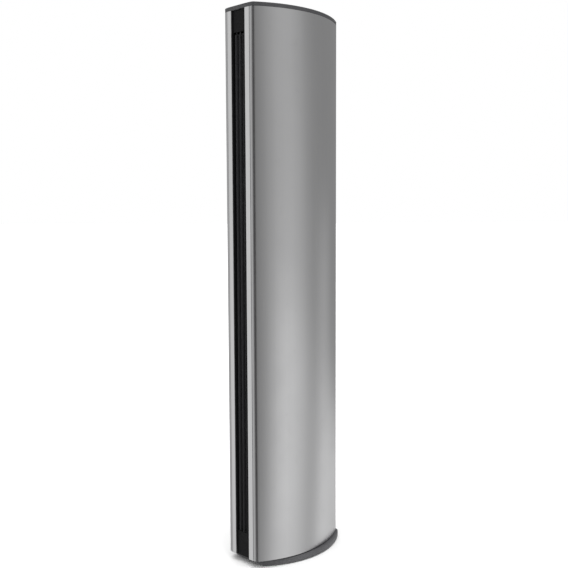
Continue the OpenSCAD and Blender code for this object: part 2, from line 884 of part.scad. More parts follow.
module indicator_lamps() {
  color("lime") from_axis() for (k = [-1 : 1])
    translate([0, window_y + lamp_pitch * k, 0])
      rod(board_z + board_t, pocket_floor - board_z - board_t - cut, lamp_r);
}

// ---- Top cap and controls ----
module top_cap() {
  color([0.12, 0.12, 0.13]) from_axis() difference() {
    union() {
      slab(cap_z, cap_t - cap_step) column_outline();
      slab(fan_h - cap_step - cut, cap_step + cut) column_outline(cap_step);
      slab(cap_z - plug_h, plug_h + cut) intersection() {
        difference() {
          column_outline(side_t + seat_gap);
          column_outline(side_t + seat_gap + plug_wall);
        }
        square([wide, 1.5 * pillar_y], center = true);
      }
      for (sx = [-1, 1]) for (sy = [-1, 1]) translate([sx * standoff[0], sy * standoff[1]])
        rod(board_z + board_t, cap_z - board_z - board_t + cut, standoff_r);
    }
    slab(panel_z, fan_h - panel_z + cut) pill(panel_r + seat_gap, panel_l + 2 * seat_gap);
    for (y = button_ys) translate([0, y]) {
      rod(pocket_floor, panel_z - pocket_floor + cut, button_r + button_flange[0] + button_gap);
      rod(cap_z - cut, cap_t, button_stem_r + button_gap);
    }
    translate([0, window_y]) slab(cap_z - cut, cap_t) pill(window[0] - 1, 2 * window[1] - 2);
  }
}

module cap_pillars() {
  bottom = high_bulk_z + bulkhead_t;
  color("silver") from_axis() at_each(pillar_points) rod(bottom, cap_z - bottom, pillar_r);
}

module control_panel() {
  color([0.05, 0.05, 0.05]) from_axis() slab(panel_z, panel_t) difference() {
    pill(panel_r, panel_l);
    for (y = button_ys) translate([0, y]) circle(r = button_r + button_gap);
    translate([0, window_y]) pill(window[0], 2 * window[1]);
  }
}

module display_window() {
  color([0.2, 0.2, 0.22]) from_axis() translate([0, window_y])
    slab(panel_z, panel_t) pill(window[0] - seat_gap / 2, 2 * window[1] - seat_gap);
}

module button(k) {
  flange_z = panel_z - button_flange[1];
  color("lightgray") from_axis() translate([0, button_ys[k]]) {
    rod(flange_z, button_flange[1] - moving_gap / 4, button_r + button_flange[0]);
    rod(flange_z, panel_z + panel_t + button_proud - flange_z, button_r);
    rod(stem_end, flange_z - stem_end + cut / 2, button_stem_r);
  }
}
module power_button() { button(0); }
module speed_button() { button(1); }
module swing_button() { button(2); }
module timer_button() { button(3); }

base_cover();
base_floor();
base_weight();
base_feet();
base_screws();
cord_gland();
swing_post();
post_screws();
swing_gear();
gear_clip();
thrust_ring();
turntable();
deck_pillars();
right_side();
left_side();
right_trim();
left_trim();
intake_grille();
grille_screws();
lower_bulkhead();
upper_bulkhead();
scroll_wall();
cutoff_wall();
outlet_frame();
outlet_guard();
motor_can();
motor_stator();
motor_grommets();
motor_screws();
swing_motor();
swing_motor_plate();
power_board();
power_parts();
run_capacitor();
bearing_rubber();
top_bearing();
top_cap();
cap_pillars();
control_panel();
display_window();
control_board();
tact_switches();
indicator_lamps();
fan_wheel();
wheel_hub();
motor_rotor();
motor_shaft();
wheel_pin();
swing_pinion();
pinion_shaft();
left_vane();
middle_vane();
right_vane();
vane_link();
power_button();
speed_button();
swing_button();
timer_button();
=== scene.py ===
"""Tower fan: a lens-shaped metal column on a flat swinging base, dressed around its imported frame.

Every length is in metres. Places and main sizes come from the frame's own nodes; the dataclass
fields hold what the frame doesn't say, such as the radius of a rounded edge.
"""

import logging
import math
from collections.abc import Iterable, Sequence
from dataclasses import dataclass, field, replace
from enum import Enum
from typing import Any

import bmesh
import bpy
from bmesh.types import BMEdge, BMesh, BMFace, BMVert
from mathutils import Matrix, Vector

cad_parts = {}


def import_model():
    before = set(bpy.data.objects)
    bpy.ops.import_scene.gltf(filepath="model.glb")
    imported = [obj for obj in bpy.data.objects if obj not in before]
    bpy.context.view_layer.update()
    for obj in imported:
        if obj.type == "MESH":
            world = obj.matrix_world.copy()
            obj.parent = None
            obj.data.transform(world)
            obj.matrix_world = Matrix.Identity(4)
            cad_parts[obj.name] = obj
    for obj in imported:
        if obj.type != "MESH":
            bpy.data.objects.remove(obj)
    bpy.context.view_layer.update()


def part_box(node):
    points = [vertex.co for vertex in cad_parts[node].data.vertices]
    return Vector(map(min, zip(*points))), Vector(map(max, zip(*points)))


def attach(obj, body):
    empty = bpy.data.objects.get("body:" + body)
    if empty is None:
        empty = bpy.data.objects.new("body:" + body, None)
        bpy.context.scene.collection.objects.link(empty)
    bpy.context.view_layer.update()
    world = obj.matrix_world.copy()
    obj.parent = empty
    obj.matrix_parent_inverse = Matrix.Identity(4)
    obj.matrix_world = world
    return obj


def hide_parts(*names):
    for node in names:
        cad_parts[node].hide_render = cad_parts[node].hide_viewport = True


logging.basicConfig(level=logging.INFO, format="%(levelname)s %(message)s")
LOG = logging.getLogger("tower_fan")

MM = 0.001
NEAR = 0.02 * MM
WELD = 0.002 * MM
SLIVER = 0.001 * MM
UP = Vector((0.0, 0.0, 1.0))

# Turn in degrees past which an edge counts as a corner
CORNER = 60.0

# Longest edge of an arc, and the most that it turns from one edge to the next
ARC_EDGE = 2.6 * MM
ARC_TURN = math.radians(4.0)

# Front corner of the column: start of a trim's crown, how far it turns, and the nose's reach
TRIM_EDGE = 1.0 * MM
WRAP_TILT = math.radians(9.0)
NOSE_REACH = 3.0 * MM

REAR_CORNER = 4.0 * MM
SENSOR = 36.0


class Side(Enum):
    """Side of the column, as the sign of its X."""

    RIGHT = 1
    LEFT = -1


class End(Enum):
    """Flat end of the column, as the sign of its Y."""

    FRONT = -1
    REAR = 1


class Grain(Enum):
    """Direction that a metal is brushed in, as the scales of a noise along X, Y and Z."""

    UPRIGHT = (1.0, 1.0, 0.012)
    LEVEL = (0.03, 0.03, 1.0)


# ---- Shader expressions ----


class Value:
    """One output socket of a node tree that plain Python arithmetic can be written on."""

    def __init__(self, recipe: "NodeSheet", socket: bpy.types.NodeSocket) -> None:
        """Wraps an output.

        Args:
            recipe: The sheet of nodes that it belongs to.
            socket: The output that this value stands for.
        """
        self.recipe = recipe
        self.socket = socket

    def _maths(self, operation: str, first: Any, second: Any = None, third: Any = None) -> "Value":
        """Adds one Math node.

        Args:
            operation: Name of the Math node's operation.
            first: First value or number.
            second: Second value or number.
            third: Third value or number.

        Returns:
            The node's result.
        """
        inputs = {i: v for i, v in enumerate((first, second, third)) if v is not None}
        return self.recipe.node("ShaderNodeMath", {"operation": operation}, inputs)

    def __add__(self, other: Any) -> "Value":
        """Sum."""
        return self._maths("ADD", self, other)

    __radd__ = __add__

    def __sub__(self, other: Any) -> "Value":
        """Difference."""
        return self._maths("SUBTRACT", self, other)

    def __rsub__(self, other: Any) -> "Value":
        """Difference from a number."""
        return self._maths("SUBTRACT", other, self)

    def __mul__(self, other: Any) -> "Value":
        """Product."""
        return self._maths("MULTIPLY", self, other)

    __rmul__ = __mul__

    def over(self, low: float, high: float) -> "Value":
        """Smooth step from 0 to 1.

        Args:
            low: Value at which it leaves 0.
            high: Value at which it reaches 1.

        Returns:
            The step.
        """
        settings = {"interpolation_type": "SMOOTHSTEP"}
        inputs = {"Value": self, "From Min": low, "From Max": high}
        return self.recipe.node("ShaderNodeMapRange", settings, inputs)

    def wave(self) -> "Value":
        """Sine of the value, from -1 to 1."""
        return self._maths("SINE", self)

    def greatest(self, other: Any) -> "Value":
        """The larger of this and another value."""
        return self._maths("MAXIMUM", self, other)


class NodeSheet:
    """A node tree that nodes are added to by name."""

    def __init__(self, tree: bpy.types.NodeTree) -> None:
        """Takes over a node tree.

        Args:
            tree: The node tree, which is emptied.
        """
        self.tree = tree
        self.tree.nodes.clear()

    def node(
        self,
        kind: str,
        settings: dict[str, Any],
        inputs: dict[Any, Any],
        output: Any = 0,
        raw: bool = False,
    ) -> Any:
        """Adds a node, sets it up and fills its sockets.

        Args:
            kind: Blender's type of the node.
            settings: Its own settings, set before the sockets.
            inputs: Value, link or colour of each input socket, by name or number.
            output: Name or number of the output that is wanted.
            raw: True to get the node itself.

        Returns:
            The output as a Value, or the node.
        """
        made = self.tree.nodes.new(kind)
        for key, setting in settings.items():
            setattr(made, key, setting)
        for key, value in inputs.items():
            if isinstance(value, Value):
                self.tree.links.new(value.socket, made.inputs[key])
            else:
                made.inputs[key].default_value = value
        return made if raw else Value(self, made.outputs[output])

    def place(self, scale: Sequence[float] = (1.0, 1.0, 1.0)) -> Value:
        """Object coordinates, stretched along each axis."""
        where = self.node("ShaderNodeTexCoord", {}, {}, "Object")
        return self.node("ShaderNodeMapping", {}, {"Vector": where, "Scale": tuple(scale)})

    def height(self) -> Value:
        """Z of the point in metres."""
        where = self.node("ShaderNodeTexCoord", {}, {}, "Object")
        return self.node("ShaderNodeSeparateXYZ", {}, {"Vector": where}, "Z")

    def noise(
        self,
        per_metre: float,
        detail: float,
        rough: float,
        grain: Sequence[float] = (1.0, 1.0, 1.0),
    ) -> Value:
        """Soft noise from 0 to 1.

        Args:
            per_metre: How fine the noise is.
            detail: Octaves.
            rough: Weight of the fine octaves.
            grain: Scale along each axis, for streaks.

        Returns:
            The noise.
        """
        vector = self.place(grain)
        inputs = {"Vector": vector, "Scale": per_metre, "Detail": detail, "Roughness": rough}
        return self.node("ShaderNodeTexNoise", {}, inputs, "Fac")

    def cells(self, per_metre: float) -> Value:
        """Distance to the nearest of scattered points, for pebbled and cast surfaces."""
        inputs = {"Vector": self.place(), "Scale": per_metre}
        return self.node("ShaderNodeTexVoronoi", {"feature": "F1"}, inputs, "Distance")

    def edges(self) -> Value:
        """1 along outer edges, where a finish wears, and 0 on flat ground."""
        point = self.node("ShaderNodeNewGeometry", {}, {}, "Pointiness")
        return point.over(0.51, 0.56)

    def blend(self, share: Any, first: Any, second: Any) -> Value:
        """Mixes two colours.

        Args:
            share: 0 for the first colour, 1 for the second.
            first: Colour or link.
            second: Colour or link.

        Returns:
            The mixed colour.
        """
        first, second = (c if isinstance(c, Value) else (*c, 1.0) for c in (first, second))
        inputs = {0: share, 6: first, 7: second}
        made = self.node("ShaderNodeMix", {"data_type": "RGBA"}, inputs, raw=True)
        return Value(self, made.outputs[2])

    def bump(self, height: Value, depth: float, strength: float = 1.0) -> Value:
        """Normal of a surface with a fine relief.

        Args:
            height: Relief from 0 to 1.
            depth: Its depth in metres.
            strength: How much it counts.

        Returns:
            The normal.
        """
        inputs = {"Height": height, "Distance": depth, "Strength": strength}
        return self.node("ShaderNodeBump", {}, inputs, "Normal")


Colour = tuple[float, float, float]


def shade(colour: Colour, by: float) -> Colour:
    """The colour made lighter or darker by a factor."""
    return tuple(min(1.0, c * by) for c in colour)


class Recipe(NodeSheet):
    """A material that is being put together around one Principled shader."""

    def __init__(self, name: str) -> None:
        """Starts a material with its Principled shader.

        Args:
            name: Name of the material.
        """
        self.material = bpy.data.materials.new(name)
        self.material.use_nodes = True
        super().__init__(self.material.node_tree)
        self.shader = self.node("ShaderNodeBsdfPrincipled", {}, {}, raw=True)
        surface = Value(self, self.shader.outputs[0])
        self.node("ShaderNodeOutputMaterial", {}, {"Surface": surface}, raw=True)

    def shades(self, share: Value, colour: Colour, first: float, second: float) -> Value:
        """Mixes a darker and a lighter shade of one colour.

        Args:
            share: 0 for the first shade, 1 for the second.
            colour: The colour.
            first: Factor of the first shade.
            second: Factor of the second shade.

        Returns:
            The mixed colour.
        """
        return self.blend(share, shade(colour, first), shade(colour, second))

    def finish(self, **sockets: Any) -> bpy.types.Material:
        """Fills the shader's sockets, whose names are written with _ for a space.

        Args:
            sockets: Value or number of each socket.

        Returns:
            The material.
        """
        for key, value in sockets.items():
            socket = self.shader.inputs[key.replace("_", " ")]
            if isinstance(value, Value):
                self.tree.links.new(value.socket, socket)
            else:
                socket.default_value = value
        return self.material


@dataclass(frozen=True)
class BrushedMetal:
    """Satin metal with a drawn grain.

    Attributes:
        name: Name of the material.
        colour: Colour of the clean metal.
        rough: Middle roughness.
        grain: Direction of the brushing.
        fineness: Brush lines to the metre.
        depth: Depth of the brush lines in metres.
        contrast: How much lighter and darker the lines are.
    """

    name: str
    colour: Colour
    rough: float
    grain: Grain = Grain.UPRIGHT
    fineness: float = 1500.0
    depth: float = 0.00002
    contrast: float = 0.05

    def make(self) -> bpy.types.Material:
        """Builds the material.

        Returns:
            The material.
        """
        recipe = Recipe(self.name)
        lines = recipe.noise(self.fineness, 3.0, 0.6, self.grain.value)
        bands = recipe.noise(self.fineness / 14, 2.0, 0.5, self.grain.value)
        smudge = recipe.noise(9.0, 3.0, 0.55)
        dust = recipe.noise(60.0, 4.0, 0.7).over(0.56, 0.8)
        tone = lines * 0.55 + bands * 0.45
        colour = recipe.shades(tone, self.colour, 1 - self.contrast, 1 + self.contrast)
        colour = recipe.blend(dust * 0.06, colour, shade(self.colour, 0.7))
        rough = self.rough - 0.05 + lines * 0.07 + smudge.over(0.35, 0.75) * 0.05 + dust * 0.05
        normal = recipe.bump(lines, self.depth)
        return recipe.finish(Base_Color=colour, Roughness=rough, Metallic=1.0, Normal=normal)


@dataclass(frozen=True)
class PowderCoat:
    """Baked powder paint on steel, with orange peel and worn edges.

    Attributes:
        name: Name of the material.
        colour: Colour of the paint.
        rough: Middle roughness.
        peel: Bumps to the metre.
        depth: Depth of the orange peel in metres.
    """

    name: str
    colour: Colour
    rough: float = 0.5
    peel: float = 900.0
    depth: float = 0.00006

    def make(self) -> bpy.types.Material:
        """Builds the material.

        Returns:
            The material.
        """
        recipe = Recipe(self.name)
        peel = recipe.noise(self.peel, 2.0, 0.5)
        cloud = recipe.noise(14.0, 4.0, 0.6)
        dust = recipe.noise(160.0, 5.0, 0.7).over(0.55, 0.78)
        scuffs = recipe.noise(420.0, 3.0, 0.6, (1.0, 0.08, 1.0)).over(0.66, 0.74)
        wear = recipe.edges() * recipe.noise(240.0, 4.0, 0.7).over(0.42, 0.6)
        colour = recipe.shades(cloud, self.colour, 0.92, 1.09)
        colour = recipe.blend(dust * 0.05, colour, (0.32, 0.31, 0.30))
        colour = recipe.blend(wear * 0.08 + scuffs * 0.03, colour, (0.3, 0.3, 0.3))
        rough = self.rough + cloud * 0.1 - 0.05 + dust * 0.1 - wear * 0.06
        normal = recipe.bump(peel, self.depth)
        return recipe.finish(
            Base_Color=colour,
            Roughness=rough,
            Normal=normal,
            Specular_IOR_Level=0.5,
        )


@dataclass(frozen=True)
class MouldedPlastic:
    """Injection-moulded plastic with a spark-eroded texture.

    Attributes:
        name: Name of the material.
        colour: Colour of the plastic.
        rough: Middle roughness.
        pebble: Texture cells to the metre.
        depth: Depth of the texture in metres.
        dusty: How much pale dust lies on it.
        shine: Strength of its reflection.
    """

    name: str
    colour: Colour
    rough: float = 0.5
    pebble: float = 1600.0
    depth: float = 0.00004
    dusty: float = 0.04
    shine: float = 0.5

    def make(self) -> bpy.types.Material:
        """Builds the material.

        Returns:
            The material.
        """
        recipe = Recipe(self.name)
        pebble = recipe.cells(self.pebble)
        fine = recipe.noise(self.pebble * 1.9, 2.0, 0.6)
        cloud = recipe.noise(22.0, 3.0, 0.55)
        dust = recipe.noise(190.0, 5.0, 0.72).over(0.52, 0.8)
        wear = recipe.edges() * recipe.noise(300.0, 3.0, 0.65).over(0.4, 0.62)
        colour = recipe.shades(cloud, self.colour, 0.9, 1.12)
        colour = recipe.blend(dust * self.dusty, colour, (0.42, 0.41, 0.39))
        colour = recipe.blend(wear * 0.3, colour, shade(self.colour, 2.2))
        rough = self.rough + cloud * 0.08 - 0.04 + dust * 0.12 - wear * 0.14
        relief = pebble * 0.7 + fine * 0.3
        normal = recipe.bump(relief, self.depth)
        return recipe.finish(
            Base_Color=colour,
            Roughness=rough,
            Normal=normal,
            Specular_IOR_Level=self.shine,
        )


@dataclass(frozen=True)
class GlossPlastic:
    """Polished plastic with fine swirls, finger marks and a hard clear surface.

    Attributes:
        name: Name of the material.
        colour: Colour under the gloss.
        rough: Middle roughness.
        see_through: How much light passes.
    """

    name: str
    colour: Colour
    rough: float = 0.1
    see_through: float = 0.0

    def make(self) -> bpy.types.Material:
        """Builds the material.

        Returns:
            The material.
        """
        recipe = Recipe(self.name)
        marks = recipe.noise(70.0, 3.0, 0.6).over(0.5, 0.75)
        swirls = recipe.noise(1400.0, 2.0, 0.5, (1.0, 0.05, 1.0)).over(0.6, 0.8)
        dust = recipe.noise(800.0, 3.0, 0.8).over(0.68, 0.8)
        cloud = recipe.noise(40.0, 2.0, 0.5)
        colour = recipe.shades(cloud, self.colour, 0.85, 1.2)
        colour = recipe.blend(dust * 0.1, colour, (0.4, 0.4, 0.39))
        rough = self.rough + marks * 0.1 + swirls * 0.05 + dust * 0.2
        normal = recipe.bump(recipe.noise(180.0, 1.0, 0.4), 0.00003, 0.4)
        return recipe.finish(
            Base_Color=colour,
            Roughness=rough,
            Normal=normal,
            Coat_Weight=0.6,
            Coat_Roughness=0.05,
            Transmission_Weight=self.see_through,
        )


@dataclass(frozen=True)
class Lacquer:
    """Metallic silver lacquer on plastic, rubbed through to dark at the outer edges of each key.

    Attributes:
        name: Name of the material.
        colour: Colour of the flakes.
        rough: Middle roughness.
    """

    name: str
    colour: Colour
    rough: float = 0.36

    def make(self) -> bpy.types.Material:
        """Builds the material.

        Returns:
            The material.
        """
        recipe = Recipe(self.name)
        flakes = recipe.cells(4200.0)
        cloud = recipe.noise(120.0, 3.0, 0.6)
        wear = recipe.edges() * recipe.noise(600.0, 3.0, 0.6).over(0.45, 0.65)
        colour = recipe.shades(flakes, self.colour, 1.15, 0.82)
        colour = recipe.blend(wear * 0.4, colour, (0.12, 0.12, 0.12))
        rough = self.rough + cloud * 0.1 - 0.05
        normal = recipe.bump(flakes, 0.00001, 0.6)
        return recipe.finish(
            Base_Color=colour,
            Roughness=rough,
            Metallic=0.8,
            Normal=normal,
            Coat_Weight=0.3,
        )


@dataclass(frozen=True)
class Rubber:
    """Matt black rubber with bloom and moulding grain.

    Attributes:
        name: Name of the material.
        colour: Colour of the rubber.
    """

    name: str
    colour: Colour

    def make(self) -> bpy.types.Material:
        """Builds the material.

        Returns:
            The material.
        """
        recipe = Recipe(self.name)
        grain = recipe.noise(2600.0, 3.0, 0.65)
        bloom = recipe.noise(90.0, 5.0, 0.7).over(0.42, 0.74)
        colour = recipe.shades(grain, self.colour, 0.7, 1.5)
        colour = recipe.blend(bloom * 0.22, colour, (0.2, 0.2, 0.195))
        rough = 0.72 + bloom * 0.16
        return recipe.finish(Base_Color=colour, Roughness=rough, Normal=recipe.bump(grain, 0.00005))


@dataclass(frozen=True)
class PlatedSteel:
    """Zinc-plated steel with the spangle of the bath and faint turning marks.

    Attributes:
        name: Name of the material.
        colour: Colour of the plating.
        rough: Middle roughness.
    """

    name: str
    colour: Colour
    rough: float = 0.32

    def make(self) -> bpy.types.Material:
        """Builds the material.

        Returns:
            The material.
        """
        recipe = Recipe(self.name)
        spangle = recipe.cells(260.0)
        turning = recipe.noise(2400.0, 2.0, 0.6, Grain.LEVEL.value)
        stain = recipe.noise(75.0, 5.0, 0.7).over(0.55, 0.75)
        colour = recipe.shades(spangle, self.colour, 0.9, 1.15)
        colour = recipe.blend(stain * 0.35, colour, (0.34, 0.31, 0.26))
        rough = self.rough + spangle * 0.1 + stain * 0.14 + turning * 0.06
        normal = recipe.bump(turning, 0.00002)
        return recipe.finish(Base_Color=colour, Roughness=rough, Metallic=1.0, Normal=normal)


@dataclass(frozen=True)
class CastIron:
    """Bare cast plate with a sandy skin and a little rust bloom.

    Attributes:
        name: Name of the material.
        colour: Colour of the iron.
    """

    name: str
    colour: Colour

    def make(self) -> bpy.types.Material:
        """Builds the material.

        Returns:
            The material.
        """
        recipe = Recipe(self.name)
        sand = recipe.cells(900.0)
        lumps = recipe.noise(130.0, 4.0, 0.65)
        rust = recipe.noise(48.0, 6.0, 0.72).over(0.55, 0.72)
        colour = recipe.shades(lumps, self.colour, 0.75, 1.25)
        colour = recipe.blend(rust * 0.6, colour, (0.16, 0.07, 0.035))
        rough = 0.6 + sand * 0.15 + rust * 0.2
        metal = 0.85 - rust * 0.7
        normal = recipe.bump(sand * 0.6 + lumps * 0.4, 0.00025)
        return recipe.finish(Base_Color=colour, Roughness=rough, Metallic=metal, Normal=normal)


@dataclass(frozen=True)
class Bronze:
    """Oil-filled sintered bronze with open pores, whose darkening is painted shade in the holes.

    Attributes:
        name: Name of the material.
        colour: Colour of the bronze.
    """

    name: str
    colour: Colour

    def make(self) -> bpy.types.Material:
        """Builds the material.

        Returns:
            The material.
        """
        recipe = Recipe(self.name)
        pores = recipe.cells(3200.0).over(0.05, 0.3)
        oil = recipe.noise(110.0, 4.0, 0.6)
        # Painted shade: the pores are darkened to show the shade in the holes.
        colour = recipe.blend(pores, shade(self.colour, 0.35), self.colour)
        colour = recipe.blend(oil * 0.4, colour, shade(self.colour, 0.6))
        rough = 0.46 - oil.over(0.4, 0.7) * 0.16
        normal = recipe.bump(pores, 0.00008)
        return recipe.finish(Base_Color=colour, Roughness=rough, Metallic=1.0, Normal=normal)


@dataclass(frozen=True)
class Windings:
    """Varnished copper turns over a stack of laminations, seen as fine level rings: painted
    highlights on the turns and painted shade between them.

    Attributes:
        name: Name of the material.
        colour: Colour of the varnished wire.
        pitch: Distance between turns in metres.
    """

    name: str
    colour: Colour
    pitch: float = 0.0007

    def make(self) -> bpy.types.Material:
        """Builds the material.

        Returns:
            The material.
        """
        recipe = Recipe(self.name)
        turns = (recipe.height() * (2 * math.pi / self.pitch)).wave() * 0.5 + 0.5
        varnish = recipe.noise(150.0, 4.0, 0.65)
        # Painted highlight on each turn and painted shade in the groove between turns.
        colour = recipe.shades(turns, self.colour, 0.45, 1.2)
        colour = recipe.blend(varnish.over(0.5, 0.8) * 0.5, colour, (0.12, 0.05, 0.02))
        rough = 0.3 + varnish * 0.2
        normal = recipe.bump(turns, self.pitch * 0.3)
        return recipe.finish(
            Base_Color=colour,
            Roughness=rough,
            Metallic=0.6,
            Normal=normal,
            Coat_Weight=0.5,
        )


@dataclass(frozen=True)
class CircuitBoard:
    """Green solder mask with tracks, pads and glass weave.

    Attributes:
        name: Name of the material.
        colour: Colour of the solder mask.
        cell: Spacing of the tracks in metres.
    """

    name: str
    colour: Colour
    cell: float = 0.0042

    def make(self) -> bpy.types.Material:
        """Builds the material.

        Returns:
            The material.
        """
        recipe = Recipe(self.name)
        settings = {"offset": 0.5, "squash": 1.0}
        inputs = {
            "Vector": recipe.place(),
            "Scale": 1 / self.cell,
            "Mortar Size": 0.09,
            "Mortar Smooth": 0.2,
        }
        tracks = recipe.node("ShaderNodeTexBrick", settings, inputs, "Fac")
        pads = 1 - recipe.cells(420.0).over(0.12, 0.17)
        weave = recipe.noise(3000.0, 1.0, 0.5, (1.0, 0.1, 1.0))
        colour = recipe.blend(tracks, self.colour, shade(self.colour, 1.9))
        colour = recipe.blend(pads, colour, (0.62, 0.6, 0.55))
        rough = 0.32 + weave * 0.12
        normal = recipe.bump((tracks * 0.5).greatest(pads), 0.00006)
        return recipe.finish(Base_Color=colour, Roughness=rough, Metallic=pads * 0.9, Normal=normal)


@dataclass(frozen=True)
class Lamp:
    """Tinted clear lamp that is lit from within.

    Attributes:
        name: Name of the material.
        colour: Colour of its light.
        glow: Strength of the light.
    """

    name: str
    colour: Colour
    glow: float = 1.5

    def make(self) -> bpy.types.Material:
        """Builds the material.

        Returns:
            The material.
        """
        recipe = Recipe(self.name)
        core = recipe.noise(700.0, 2.0, 0.5)
        colour = recipe.shades(core, self.colour, 0.8, 1.3)
        rough = 0.12 + core * 0.1
        return recipe.finish(
            Base_Color=colour,
            Roughness=rough,
            Emission_Color=colour,
            Emission_Strength=self.glow,
        )


def all_finishes() -> dict[str, bpy.types.Material]:
    """Builds every material.

    Returns:
        The materials by the record's slot names.
    """
    finishes = (
        BrushedMetal("side_metal", (0.6, 0.6, 0.605), 0.34),
        BrushedMetal("trim_metal", (0.84, 0.84, 0.845), 0.3, fineness=1900.0, contrast=0.04),
        MouldedPlastic("cap_black", (0.045, 0.045, 0.048), 0.46),
        PowderCoat("base_black", (0.07, 0.07, 0.075)),
        # The slot's black is far darker than the plastic's own: painted shade of the deep slot on
        # the frame, guard and link, which the button marks share. The vanes' black below is a
        # lighter copy of the same plastic: painted light on the vanes.
        MouldedPlastic("outlet_black", (0.006, 0.006, 0.0065), 0.6, dusty=0.01, shine=0.1),
        MouldedPlastic("vane_black", (0.027, 0.027, 0.029), 0.5, 1900.0, 0.00002, 0.03, 0.35),
        MouldedPlastic("grille_black", (0.03, 0.03, 0.032), 0.52, 1100.0, 0.00007, 0.06),
        GlossPlastic("panel_gloss", (0.012, 0.012, 0.014)),
        GlossPlastic("window_smoke", (0.05, 0.05, 0.06), 0.05, 0.55),
        Lacquer("button_silver", (0.55, 0.55, 0.56)),
        MouldedPlastic("frame_plastic", (0.1, 0.1, 0.105), 0.5, 900.0, 0.00008),
        MouldedPlastic("wheel_plastic", (0.035, 0.035, 0.037), 0.42, 1300.0, 0.00003, 0.12),
        PlatedSteel("steel", (0.55, 0.55, 0.56)),
        CastIron("weight_iron", (0.2, 0.2, 0.21)),
        Rubber("rubber_black", (0.02, 0.02, 0.02)),
        MouldedPlastic("gear_plastic", (0.82, 0.8, 0.72), 0.34, 2200.0, 0.00001, 0.03),
        Bronze("bronze", (0.6, 0.42, 0.2)),
        Windings("copper", (0.45, 0.2, 0.1)),
        CircuitBoard("board", (0.03, 0.16, 0.06)),
        MouldedPlastic("parts", (0.1, 0.1, 0.11), 0.36, 2000.0, 0.00002, 0.05),
        MouldedPlastic("capacitor_white", (0.72, 0.72, 0.7), 0.38, 1800.0, 0.00001, 0.04),
        Lamp("lamp", (0.2, 0.55, 0.6)),
    )
    return {finish.name: finish.make() for finish in finishes}


# ---- Shapes ----


def spun_arc(
    bm: BMesh, start: Vector, centre: Vector, sweep: float, steps: int
) -> list[BMVert]:
    """Turns one vertex about an upright axis into a chain of edges.

    Args:
        bm: Mesh that gets the chain.
        start: First point.
        centre: Point that the axis passes through.
        sweep: Angle of the arc in radians.
        steps: Number of edges.

    Returns:
        The chain's vertices in order.
    """
    seed = bm.verts.new(start)
    bmesh.ops.spin(
        bm,
        geom=[seed],
        cent=centre,
        axis=UP,
        angle=sweep,
        steps=steps,
        use_merge=False,
        use_duplicate=False,
    )
    chain = [seed]
    while len(chain) <= steps:
        ahead = [e.other_vert(chain[-1]) for e in chain[-1].link_edges]
        chain.append(next(v for v in ahead if v not in chain[-2:]))
    return chain


def join_chains(bm: BMesh, chains: Sequence[list[BMVert]]) -> list[BMVert]:
    """Joins chains end to end, and the last one to the first, with straight edges.

    Args:
        bm: Mesh that holds them.
        chains: Chains in order.

    Returns:
        All the vertices in order.
    """
    for first, second in zip(chains, [*chains[1:], chains[0]]):
        bm.edges.new((first[-1], second[0]))
    return [v for chain in chains for v in chain]


def shift(bm: BMesh, made: Iterable[Any], by: Vector) -> None:
    """Moves the vertices among what an operator made."""
    bmesh.ops.translate(bm, verts=[g for g in made if isinstance(g, BMVert)], vec=by)


def thicken(bm: BMesh, faces: Iterable[BMFace], lift: Vector) -> None:
    """Extrudes a flat sheet of faces into a solid, whose other end is the sheet."""
    made = bmesh.ops.extrude_face_region(bm, geom=list(faces), use_keep_orig=True)
    shift(bm, made["geom"], lift)


def bevel_edges(bm: BMesh, edges: Iterable[BMEdge], size: float, segments: int = 3) -> None:
    """Rounds edges.

    Args:
        bm: Mesh that holds them.
        edges: The edges.
        size: Width of the rounding in metres.
        segments: Steps in the round.
    """
    bmesh.ops.bevel(
        bm,
        geom=list(edges),
        offset=size,
        offset_type="OFFSET",
        affect="EDGES",
        segments=segments,
        profile=0.5,
        material=-1,
        clamp_overlap=True,
    )


def upright(edge: BMEdge) -> bool:
    """Whether an edge runs along Z."""
    low, high = edge.verts
    return (low.co.xy - high.co.xy).length < NEAR < abs(low.co.z - high.co.z)


def level_at(edge: BMEdge, z: float) -> bool:
    """Whether an edge lies at a height."""
    return all(abs(v.co.z - z) < NEAR for v in edge.verts)


def sharp_edges(bm: BMesh, degrees: float = 30.0) -> list[BMEdge]:
    """Edges whose two faces meet at more than an angle."""
    limit = math.radians(degrees)
    return [e for e in bm.edges if len(e.link_faces) == 2 and e.calc_face_angle(0.0) > limit]


def tidy(bm: BMesh) -> None:
    """Merges what lies together and turns every face outwards.

    Args:
        bm: Mesh that is tidied.
    """
    bmesh.ops.remove_doubles(bm, verts=bm.verts, dist=WELD)
    bmesh.ops.dissolve_degenerate(bm, dist=SLIVER, edges=bm.edges)
    bmesh.ops.recalc_face_normals(bm, faces=bm.faces)


